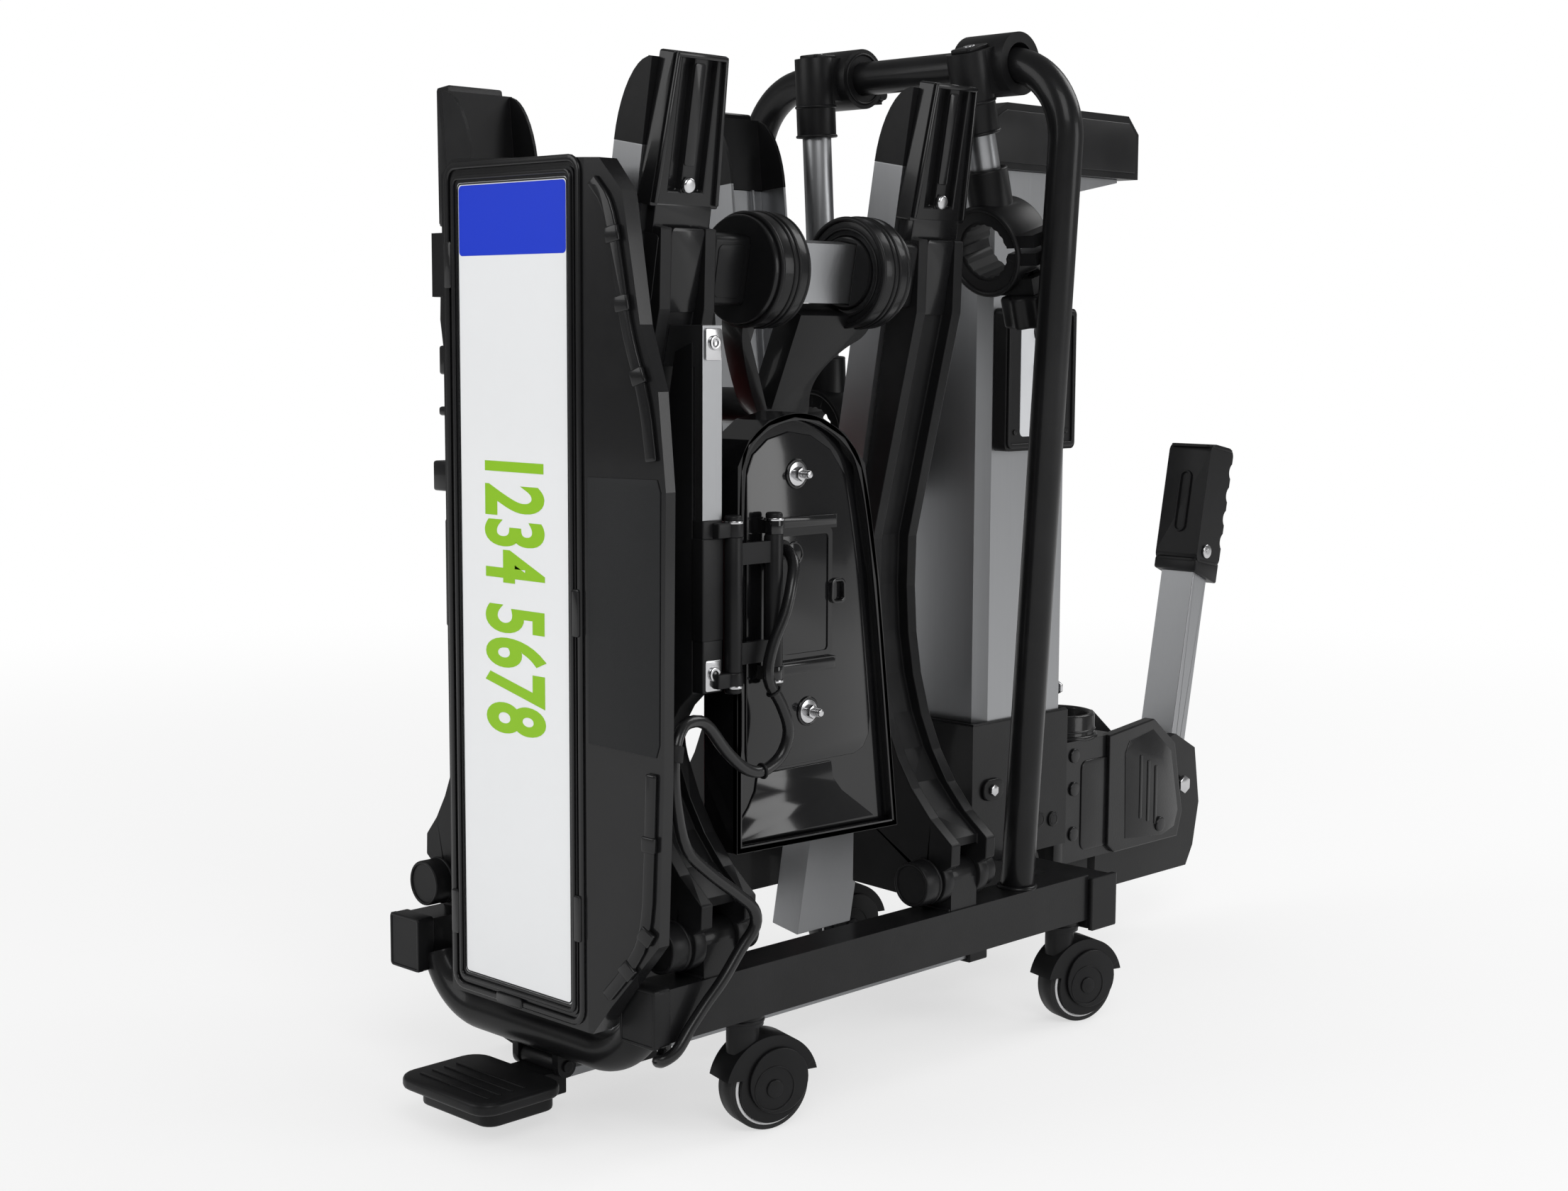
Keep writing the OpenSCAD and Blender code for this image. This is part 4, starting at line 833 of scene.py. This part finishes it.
class RACK_OT_lamps(bpy.types.Operator):
    """Adds the lamps' raised plateaus, flares, studs, trims and rims, and the struts' housings and screws"""
    bl_idname = "rack.lamps"
    bl_label = "Lamps"

    def execute(self, context):
        raised = ((131, 238), (126, 240), (122.5, 245), (121.5, 252), (121, 434), (127, 447), (140, 456.5),
                  (160, 461), (181, 458), (200, 448), (215, 430), (230, 357), (241.5, 262), (240.5, 250),
                  (235, 241.5), (226, 238))
        plateau = slab(at_x(TRAY_X, raised), (0.0014, 0, 0))
        both_sides("lamp_plateau", [soften(plateau, 0.0007)], "Gloss black", "lamp")
        spread = ((132, 236), (203, 236), (205, 224), (214, 214), (230, 203), (243, 192.5), (113.5, 194),
                  (115, 205), (124, 215), (130, 225))
        flare = slab(at_x(TRAY_X, spread), (0.0014, 0, 0))
        edit_where(flare, "VERT", lambda point: point.co.z < 0.2 and point.co.x > 0.116)
        bpy.ops.transform.translate(value=(0.0035, 0, 0))
        leave_edit()
        both_sides("lamp_flare", [soften(flare, 0.0006, 3, 25, 60)], "Gloss black", "lamp")
        trims, studs = [], []
        for y, z in ((167, 433), (179, 273)):
            trims.append(ring(mm(117, y, z), ACROSS, 0.009, 0.0011, 36, 10))
            studs += threaded_stud(mm(116.6, y, z), mm(130, y, z), 0.0026)
        both_sides("lamp_studs", studs, "Zinc", "lamp")
        trims.append(ring(mm(116.6, 165.4, 380), ACROSS, 0.0075, 0.0009, 36, 10))
        trims.append(soften(drum(mm(115.2, 165.4, 380), mm(117, 165.4, 380), 0.007, 36), 0.0006, 2))
        hook = frame_ring(at_x(116.2, rounded((199, 344), (213, 361), 4.5)), 0.0022, (0.0035, 0, 0))
        trims.append(soften(hook, 0.0006, 2))
        for z in (301.5, 398.5):
            bar = slab(at_x(120, rounded((146, z - 0.5), (200.5, z + 6.5), 2)), (0.0024, 0, 0))
            trims.append(soften(bar, 0.0006, 2))
        both_sides("lamp_trims", trims, "Gloss black", "lamp")
        edge = eased(((264.5, 183), (243.5, 357), (227.5, 438), (207.5, 459), (182.5, 471), (159.5, 474),
                      (135.5, 469), (117.5, 457), (107.5, 440), (107.5, 187)))
        bead = frame_ring(at_x(118.4, edge), 0.0046, (0.0041, 0, 0))
        both_sides("lamp_rim", [soften(bead, 0.0018, 4)], "Gloss black", "lamp")
        housing = [block(mm(115.2, 73.4, 330), mm(125.8, 92, 396)),
                   block(mm(115.4, 74, 296.8), mm(125.3, 91.8, 331)),
                   block(mm(115.4, 74, 395), mm(125.3, 91.8, 407.5))]
        for z0, z1 in ((299.4, 309.2), (395.8, 405.6)):
            housing.append(block(mm(120, 82.4, z0), mm(131.1, LINK_ROWS[0], z1)))
            housing.append(drum(mm(LINK_X, LINK_ROWS[0], z0), mm(LINK_X, LINK_ROWS[0], z1), 0.0067, 32))
        both_sides("strut_housing", [soften(form, 0.0011) for form in housing], "Moulded black", "wing")

        def link_ends(spans, radius, edge, segments):
            """Short upright cylinders at both rows of the links."""
            return [soften(drum(mm(LINK_X, y, z0), mm(LINK_X, y, z1), radius, 32), edge, segments)
                    for y in LINK_ROWS for z0, z1 in spans]

        caps = link_ends(((405, 410), (300, 295)), 0.0056, 0.0016, 3)
        washers = link_ends(((404.6, 406.4), (300.4, 298.6)), 0.0068, 0.0003, 2)
        both_sides("link_caps", caps, "Moulded black", "lamp_link")
        both_sides("link_washers", washers, "Zinc", "lamp_link")
        screws = []
        for z in (519, 309):
            tab = slab(at_x(124.3, rounded((76, z - 11), (90, z + 9), 1.5)), (0.0016, 0, 0))
            screws += [soften(tab, 0.0004, 2), sunk_head(125.6, 128, 83, z)]
        both_sides("strut_screws", screws, "Zinc", "wing")
        return {"FINISHED"}


# The hubs' centre in the right wing's own frame, as its distance from the wheel rails' floor and along them
HUB_OUT, HUB_ALONG = 10.5, 418


def channel_lips(floor, y, out):
    """The forms on one clamp channel: lips, saddle, end, recess, stop and middle rib."""
    lip = ((27.6, 458), (24.4, 458), (18.8, 550), (21.6, 550))
    lips = [soften(slab(at_x(floor + 12.6, lip, y, s), (0.0032, 0, 0)), 0.0008, 2) for s in SIDES]
    saddle = slab(at_x(floor - 0.4, rounded((-24.3, 433), (24.3, 458.5), 2), y), (0.0134, 0, 0))
    end = slab(at_x(floor + 12.6, ((-21, 547.4), (21, 547.4), (21.4, 550.4), (-21.4, 550.4)), y),
               (0.0034, 0, 0))
    recess = slab(at_x(floor + 18.6, rounded((-14, 391), (14, 444), 3), y), (0.0014, 0, 0))
    stop = slab(at_y(y + out * 24.1, rounded((floor + 1.2, 396.6), (floor + 19.8, 439.4), 3)),
                (0, out * 0.0012, 0))
    rib = slab(at_x(floor + 12.6, rounded((-4.5, 482), (4.5, 545), 2), y), (0.0012, 0, 0))
    return lips + [soften(saddle, 0.0009), soften(end, 0.0008, 2), soften(recess, 0.0004, 2),
                   soften(stop, 0.0004, 2), soften(rib, 0.0005, 2)]


class RACK_OT_wings(bpy.types.Operator):
    """Adds the channels' lips and bolts, the arm's web, tube covers, hub steps and the forged yoke"""
    bl_idname = "rack.wings"
    bl_label = "Wings"

    def execute(self, context):
        for side, base in BASE.items():
            domes = [soften(drum(mm(13 - base, y, 470), mm(17 - base, y, 470), 0.0052, 32), 0.0018, 4)
                     for y in ARM_ROWS]
            wing_piece("wing_fasteners_" + side, domes, side, "Zinc")
            lips = [form for y, out in zip(ARM_ROWS, SIDES) for form in channel_lips(-base, y, out)]
            wing_piece("channel_lips_" + side, lips, side, "Moulded black, glossy")
        gusset = ((115.6, 520), (99, 514), (80, 420), (66, 330), (58, 262), (64, 236), (78, 244), (92, 268),
                  (104, 286), (115.6, 296))
        web = slab(at_y(74, gusset), (0, 0.014, 0))
        piece("arm_web", [soften(web, 0.0012)], "Moulded black", "wing_right")
        floor = -BASE["right"]
        covers = []
        for y0, y1 in ((103, 134.4), (266.6, 298)):
            cover = slab(at_y(y0, rounded((floor + 0.6, 395.5), (floor + 20.6, 440.5), 4)),
                         (0, (y1 - y0) / 1000, 0))
            panel = slab(at_x(floor + 20.4, rounded((y0 + 3, 401), (y1 - 5, 435), 4)), (0.0009, 0, 0))
            covers += [soften(cover, 0.0012), soften(panel, 0.0005, 2)]
        wing_piece("tube_covers", covers, "right", "Moulded black")
        steps = []
        for rows, radius, thick, minor in (((150.5, 155, 247.5, 252), 0.0374, 0.0011, 8),
                                           ((140.2, 163.8, 237.2, 260.8), 0.0362, 0.0018, 10),
                                           ((140.2, 163.8, 237.2, 260.8), 0.0295, 0.0011, 8)):
            steps += [ring(mm(floor + HUB_OUT, y, HUB_ALONG), ALONG, radius, thick, 72, minor) for y in rows]
        piece("hub_steps", [to_wing(steps, "hub_steps", "right")], "Moulded black", "stay_yoke")
        # The yoke's web lies along the wing, from the hubs down, with a notch for the lamp
        down = Vector((-0.399, 0, -0.917))
        across = Vector((-0.917, 0, 0.399))
        outer = eased(((262, -7), (261, 8), (243, 17), (226, 34), (222, 50), (229, 66), (222, 77), (204, 80),
                       (184, 73), (160, 42), (139, 8), (139, -7)))
        notch = ((150.5, -7), (150.5, 12), (186, 62), (190, 62), (190, -7))
        start = mm(85.6, 0, 534.7) - across * 0.0105
        web = slab([start + Vector((0, y / 1000, 0)) + down * (v / 1000) for y, v in (*outer, *notch)],
                   across * 0.021)
        yoke = [web, drum(mm(-10.4, 200, 475), mm(60, 200, 475), 0.0125)]
        yoke += [frame_ring(at_y(y, circle(93.6, 566.2, 37.5, 72)), 0.0129, (0, 0.0234, 0))
                 for y in (140.3, 237.3)]
        yoke = piece("forged_yoke", [soften(form, 0.0016) for form in yoke], "Powder-coated steel",
                     "stay_yoke")
        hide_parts("stay_yoke")
        return {"FINISHED"}


def hinge_forms(x, y):
    """The washers and bolt end, and the cap's two rings, of one wing hinge."""
    def rod(y0, y1, radius, sides, edge, segments=2):
        return soften(drum(mm(x, y + y0, HINGE_Z), mm(x, y + y1, HINGE_Z), radius, sides), edge, segments)

    washers = [rod(-24.3, -26.9, 0.0118, 40, 0.0004), rod(24.3, 26, 0.0145, 40, 0.0004),
               rod(36, 38.5, 0.0048, 24, 0.001, 3)]
    grooves = [ring(mm(x, y - 41.3, HINGE_Z), ALONG, 0.0148, 0.0012, 48, 10),
               ring(mm(x, y - 28.2, HINGE_Z), ALONG, 0.0155, 0.0013, 48, 10)]
    return washers, grooves


# The castors stand turned by this angle, and their wheels' centres trail the stem
CASTOR_TURN = 75
CASTOR_TRAIL = 0.016
CASTOR_ROWS = (("rear", 113), ("front", 453))


def dress_castor(name, x, y):
    """The pale rings and tyre lines of one castor's wheel, and its fork's covers and collar."""
    turn = math.radians(CASTOR_TURN)
    out = Vector((-math.sin(turn), math.cos(turn), 0))
    along = Vector((math.cos(turn), math.sin(turn), 0))
    hub = mm(x, y, 30) + along * CASTOR_TRAIL
    pale, covers = [], []
    for f in SIDES:
        pale.append(ring(hub + out * f * 0.0088, out, 0.0252, 0.0011, 60, 8))
        shape = [hub + out * f * 0.0127 + along * u + Vector((0, 0, v))
                 for u, v in circle(0.004, 0.0045, 0.0222, 40)]
        covers.append(soften(slab(shape, out * f * 0.0024), 0.0007))
        covers.append(soften(drum(hub + out * f * 0.0146, hub + out * f * 0.0166, 0.0062, 32), 0.0009))
        covers.append(ring(hub + out * f * 0.0151, out, 0.0148, 0.0006, 48, 8))
    covers.append(ring(mm(x, y, 76.2), UP, 0.0132, 0.0016, 48, 10))
    treads = [ring(hub + out * f * 0.0075, out, 0.0289, 0.0010, 72, 8) for f in SIDES]
    piece("castor_ring_" + name, pale, "Hub pale", "castor_wheel_" + name)
    piece("castor_tyre_" + name, treads, "Tread", "castor_wheel_" + name)
    piece("castor_cover_" + name, covers, "Moulded black", "castor_fork_" + name)


class RACK_OT_platform(bpy.types.Operator):
    """Adds the platform's weld seams, rail sleeves, pedal, hinge washers and castor trims"""
    bl_idname = "rack.platform"
    bl_label = "Platform and castors"

    def execute(self, context):
        welds, sleeves, washers, grooves = [], [], [], []
        for x in (-RAIL_X, RAIL_X):
            welds.append(ring(mm(x, 400, 115.4), UP, 0.0132, 0.0021, 48, 10))
            sleeve = frame_ring(at_y(19.4, rounded((x - 16.6, 78.4), (x + 16.6, 116.6), 3)), 0.0022,
                                (0, 0.014, 0))
            sleeves.append(soften(sleeve, 0.0007))
            for y in ARM_ROWS:
                for seam_y in (y - 14, y + 14):
                    seam = drum(mm(x - 12.8, seam_y, 115.2), mm(x + 12.8, seam_y, 115.2), 0.0016, 12)
                    welds.append(soften(seam, 0.0006, 2))
                hinge = hinge_forms(x, y)
                washers += hinge[0]
                grooves += hinge[1]
        piece("weld_seams", welds, "Powder-coated steel", "platform")
        piece("rail_end_sleeves", sleeves, "Moulded black", "platform")
        piece("hinge_washers", washers, "Zinc", "platform")
        piece("hinge_cap_rings", grooves, "Moulded black", "platform")
        foot = [(slab(at_z(26.5, rounded((-48, -44.5), (48, 26), 15)), (0, 0, 0.0085)), 0.0028),
                (slab(at_z(15, rounded((-38, -33), (38, 26), 10)), (0, 0, 0.012)), 0.002),
                (block(mm(-17.6, 20, 15), mm(17.6, 50, 32)), 0.001),
                (drum(mm(-17.6, 45, 36), mm(17.6, 45, 36), 0.007), 0.0008),
                (drum(mm(-26, 45, 36), mm(26, 45, 36), 0.004), 0.0006)]
        foot += [(block(mm(-36, y - 1.2, 34.6), mm(36, y + 1.2, 35.7)), 0.0004) for y in (-31, -21, -11, -1)]
        foot = piece("moulded_pedal", [soften(form, edge, 4) for form, edge in foot], "Moulded black",
                     "pedal")
        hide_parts("pedal")
        for row, y in CASTOR_ROWS:
            for side, s in (("right", 1), ("left", -1)):
                dress_castor(row + "_" + side, s * RAIL_X, y)
        return {"FINISHED"}


class RACK_OT_column(bpy.types.Operator):
    """Adds the lift column's panel face, button marks, head panels and foot bolts"""
    bl_idname = "rack.column"
    bl_label = "Lift column"

    def execute(self, context):
        button_y = 502
        face = slab(at_x(56.9, rounded((476, 446), (530, 539), 4)), (0.0006, 0, 0))
        for z in BUTTON_ROWS:
            cut(face, drum(mm(56, button_y, z), mm(59, button_y, z), 0.0099))
        piece("panel_face", [soften(face, 0.0001, 1)], "Panel light", "column")
        rim = frame_ring(at_x(56.6, rounded((460, 437), (544, 543.5), 5)), 0.0038, (0.0022, 0, 0))
        rims = [soften(rim, 0.0008)]
        rims += [ring(mm(57.6, button_y, z), ACROSS, 0.0101, 0.0006, 48, 8) for z in BUTTON_ROWS]
        rims += [soften(drum(mm(57, y, 449.5), mm(58, y, 449.5), 0.0022, 20), 0.0003, 2) for y in (470, 534)]
        piece("panel_rims", rims, "Moulded black", "column")
        marks = {"up": ((497.5, 523), (506.5, 523), (506.5, 526), (502, 532.5), (497.5, 526)),
                 "stop": ((498, 495), (506, 495), (506, 503), (498, 503)),
                 "down": ((502, 465.5), (506.5, 472), (506.5, 475), (497.5, 475), (497.5, 472))}
        for name, outline in marks.items():
            mark = soften(slab(at_x(59.4, outline), (0.00045, 0, 0)), 0.00012, 2)
            piece("button_mark_" + name, [mark], "Panel dark", "button_" + name)
        cheek = ((441, 655), (628, 655), (628, 685.5), (619.5, 694.5), (462.5, 694.5), (441, 683.5))
        top = slab(at_z(697.6, rounded((-45, 470), (45, 616), 6)), (0, 0, 0.003))
        piece("head_panels", [*panels(49.6, cheek, 0.0014, 0.0009), soften(top, 0.0009)], "Moulded black",
              "column")
        brackets = panels(47.8, rounded((447, 161), (472, 178), 8), 0.003, 0.0009)
        for y, z in ((520.5, 136), (538, 134), (452, 124)):
            brackets += pegs(47.8, 49.8, y, z, 0.0062, 32, 0.0009)
            brackets += [ring(mm(s * 49.4, y, z), ACROSS, 0.0042, 0.0007, 28, 8) for s in SIDES]
        collar = frame_ring(at_z(216, ((-47.5, 437), (47.5, 437), (47.5, 555.6), (-47.5, 555.6))), 0.0024,
                            (0, 0, 0.0075))
        brackets.append(soften(collar, 0.0008, 2))
        piece("foot_brackets", brackets, "Moulded black", "column")
        piece("foot_bolts", pegs(50.6, 53.4, 458, 169.5, 0.0048, 6, 0.0006, 2), "Zinc", "column")
        return {"FINISHED"}


# The lever's pivot in millimetres and its lean in degrees, and the ball cup's axis
PIVOT_Y, PIVOT_Z = 750.3, 130
LEVER_LEAN = -11
CUP_Y = 601.8


class RACK_OT_coupling(bpy.types.Operator):
    """Adds the carriage plate, the coupling's ribs, rims and bolts, and the lever grip's trims"""
    bl_idname = "rack.coupling"
    bl_label = "Coupling and lever"

    def execute(self, context):
        outline = ((-36, 85), (36, 85), (36, 208), (11.7, 221), (11.7, 262), (-11.7, 262), (-11.7, 221),
                   (-36, 208))
        plate = slab(at_y(556.3, outline), (0, 0.012, 0))
        key = block(mm(-11.7, 524, 232), mm(11.7, 557, 256))
        nut = frame_ring(at_z(232, circle(0, 516, 15, 48)), 0.0077, (0, 0, 0.024))
        forms = [soften(form, 0.0008, 2) for form in (plate, key, nut)]
        plate = piece("carriage_plate", forms, "Powder-coated steel", "carriage")
        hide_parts("carriage")
        trims = []
        for y, z0, z1 in ((671, 112, 168), (682, 108, 162), (693, 104, 156)):
            trims += panels(37.7, rounded((y, z0), (y + 3.5, z1), 1.7), 0.0016, 0.0006, 2)
        shell = ((652, 98), (706, 93), (724, 98), (729, 112), (717, 166), (690, 188), (656, 182), (650, 172))
        trims += panels(37.6, shell, 0.0009, 0.0005, 2)
        trims += pegs(37.8, 40.6, 701.8, 103, 0.0065, 32, 0.0012)
        trims += pegs(27.6, 29.5, 722.3, 146, 0.0055, 32, 0.0012)
        for z, radius, thick, minor in ((207.4, 0.0303, 0.0026, 12), (196, 0.0328, 0.0011, 8),
                                        (190.4, 0.0335, 0.0022, 8)):
            trims.append(ring(mm(0, CUP_Y, z), UP, radius, thick, 72, minor))
        for z in (112, 150, 178):
            trims += pegs(33.8, 36, 584, z, 0.006, 32, 0.0009)
        trims += panels(33.7, rounded((594, 96), (632, 172), 7), 0.0014, 0.0007)
        piece("coupling_trims", trims, "Cast black", "carriage")
        bolts = pegs(27.8, 31.5, PIVOT_Y, PIVOT_Z, 0.0082, 6, 0.0008, 2)
        bolts += [soften(drum(mm(s * 26, 568.2, z), mm(s * 26, 571.4, z), 0.0058, 6), 0.0006, 2)
                  for s in SIDES for z in (120, 236)]
        piece("coupling_bolts", bolts, "Zinc", "carriage")
        lean = Matrix.Translation(mm(0, PIVOT_Y, PIVOT_Z)) @ Matrix.Rotation(math.radians(LEVER_LEAN), 4, "X")

        def lever_piece(name, forms, finish):
            obj = join(forms, name)
            obj.matrix_world = lean @ obj.matrix_world
            return piece(name, [settle(obj)], finish, "lever")

        screws = []
        for s in SIDES:
            head = drum(own(s * 21.8, -3.5, 207), own(s * 24.2, -3.5, 207), 0.0062, 36)
            socket = drum(own(s * 24, -3.5, 207), own(s * 24.6, -3.5, 207), 0.0026, 6)
            screws += [soften(head, 0.0009), soften(socket, 0.0002, 1)]
        lever_piece("grip_screws", screws, "Zinc")
        lips = []
        for z in (196.5, 298.5):
            lip = frame_ring([own(x, y, z) for x, y in rounded((-22.6, -17), (22.6, 20), 6)], 0.006,
                             (0, 0, 0.0024))
            lips.append(soften(lip, 0.0008))
        slanted = ((-16.6, 198.5), (19.6, 198.5), (19.6, 180.5), (-16.6, 188.5))
        shoe = slab([own(-22.2, y, z) for y, z in slanted], (0.0444, 0, 0))
        slot = frame_ring([own(x, -17.2, z) for x, z in rounded((-6, 222), (6, 277), 5.8)], 0.0016,
                          (0, -0.0014, 0))
        lever_piece("grip_lips", [*lips, soften(shoe, 0.0018), soften(slot, 0.0005, 2)], "Moulded black")
        return {"FINISHED"}


# Where each frame holder hangs on the hoop and its lean in degrees, its length and its knob's side
HOLDERS = {"one": (-63, 3.5, 236, -1), "two": (90, 16, 94, 1)}


def jaw_pad(centre_z, start, end):
    """Half of a jaw's rubber lining, with teeth inside."""
    steps = 18
    angles = [start + (end - start) * k / steps for k in range(steps + 1)]
    line = [polar(22.4, angle) for angle in angles]
    line += [polar(19.2 if k % 2 else 20.2, angles[k]) for k in range(steps, -1, -1)]
    return soften(slab([own(x, -45.5, centre_z + z) for x, z in line], (0, 0.031, 0)), 0.0004, 1)


def lobed_knob(x, top):
    """A knob with eight lobes, its stem and the disc under it."""
    lobes = [polar(21.2 + 1.7 * math.cos(math.radians(40 * k)), 5 * k) for k in range(72)]
    knob = slab([own(x + u, v - 30, top - 0.4) for u, v in lobes], (0, 0, -0.0236))
    stem = drum(own(x, -30, top - 1.3), own(x, -30, top + 10), 0.004, 24)
    disc = drum(own(x, -30, top - 23.4), own(x, -30, top - 24), 0.0135, 40)
    return [soften(knob, 0.0026, 4, 40, 50), soften(stem, 0.0005, 2), soften(disc, 0.0003, 2)]


class RACK_OT_holders(bpy.types.Operator):
    """Adds the frame holders' collars and screws, the jaws' pads and the lobed knobs"""
    bl_idname = "rack.holders"
    bl_label = "Frame holders"

    def execute(self, context):
        for which, (hoop_x, lean, length, sign) in HOLDERS.items():
            place = Matrix.Translation(mm(hoop_x, 400, 718.5)) @ Matrix.Rotation(math.radians(lean), 4, "X")

            def fit(name, forms, finish, body):
                """A piece whose forms are drawn in the holder's own frame."""
                obj = join(forms, name + "_" + which)
                obj.matrix_world = place @ obj.matrix_world
                return piece(obj.name, [settle(obj)], finish, body + "_" + which)

            head = [ring(own(0, -30, z), UP, 0.0148, 0.0012, 48, 10) for z in (-42, -20)]
            cheeks = (-23, 23) if which == "one" else (-23,)
            head += [ring(own(x, 0, 0), ACROSS, 0.0185, 0.0011, 60, 10) for x in cheeks]
            spine = slab([own(x, y, 15.4) for x, y in rounded((-9, -38), (9, -14), 3)], (0, 0, 0.0036))
            head.append(soften(spine, 0.0011))
            head += [ring(own(x, 30, -11), ACROSS, 0.0042, 0.0014, 28, 8) for x in (-12, 12)]
            fit("holder_trims", head, "Moulded black", "holder")
            screw = drum(own(0, -26, 18.2), own(0, -26, 19.8), 0.0042, 28)
            fit("holder_screw", [soften(screw, 0.0006)], "Zinc", "holder")
            jaw_z = -length - 32
            fit("jaw_pads", [jaw_pad(jaw_z, 9, 171), jaw_pad(jaw_z, 189, 351)], "Rubber", "jaw")
            rims = [ring(own(0, y, jaw_z), ALONG, 0.0318, 0.0022, 72, 10) for y in (-47, -13)]
            rims.append(ring(own(0, -30, -length + 24), UP, 0.0148, 0.0014, 48, 8))
            fit("jaw_rims", rims, "Moulded black", "jaw")
            knob = fit("lobed_knob", lobed_knob(sign * 24, -length - 66), "Moulded black", "knob")
            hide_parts("jaw_knob_" + which)
        return {"FINISHED"}


class RACK_OT_cable_ties(bpy.types.Operator):
    """Adds the cables' gland, the sleeve at the wing's hinge and two ties"""
    bl_idname = "rack.cable_ties"
    bl_label = "Cable ties"

    def execute(self, context):
        gland = drum(mm(115.4, 152, 384.1), mm(121, 152.1, 383.6), 0.0066, 32)
        piece("cable_gland", [soften(gland, 0.0014)], "Rubber", "lamp_right")
        sleeve = drum(mm(147.3, 30.6, 272.2), mm(148.7, 27.7, 262), 0.0053, 32)
        piece("cable_sleeve", [soften(sleeve, 0.0012)], "Rubber", "wing_right")
        points = smooth_route(LAMP_ROUTE)[0]
        ties = [ring(points[k], points[k + 1] - points[k - 1], 0.0046, 0.0009, 28, 8) for k in (26, 40)]
        piece("cable_ties", ties, "Moulded black", "wing_right")
        return {"FINISHED"}


STEPS = (RACK_OT_finishes, RACK_OT_stage, RACK_OT_cables, RACK_OT_number_plate, RACK_OT_plate_holder,
         RACK_OT_lamps, RACK_OT_wings, RACK_OT_platform, RACK_OT_column, RACK_OT_coupling, RACK_OT_holders,
         RACK_OT_cable_ties)


class RACK_PT_panel(bpy.types.Panel):
    """Lists the rack's sizes, colours and steps"""
    bl_label = "Bike rack"
    bl_idname = "RACK_PT_panel"
    bl_space_type = "VIEW_3D"
    bl_region_type = "UI"
    bl_category = "Bike rack"

    def draw(self, context):
        for settings in (context.scene.rack_look, context.scene.rack_stage):
            for key in settings.bl_rna.properties.keys():
                if key not in ("rna_type", "name"):
                    self.layout.prop(settings, key)
        for step in STEPS:
            self.layout.operator(step.bl_idname)


CLASSES = (RackLook, RackStage, *STEPS, RACK_PT_panel)


def register():
    for cls in CLASSES:
        bpy.utils.register_class(cls)
    bpy.types.Scene.rack_look = bpy.props.PointerProperty(type=RackLook)
    bpy.types.Scene.rack_stage = bpy.props.PointerProperty(type=RackStage)


def unregister():
    del bpy.types.Scene.rack_stage
    del bpy.types.Scene.rack_look
    for cls in reversed(CLASSES):
        bpy.utils.unregister_class(cls)


def main():
    register()
    for step in STEPS:
        group, name = step.bl_idname.split(".")
        getattr(getattr(bpy.ops, group), name)()


if __name__ == "__main__":
    main()
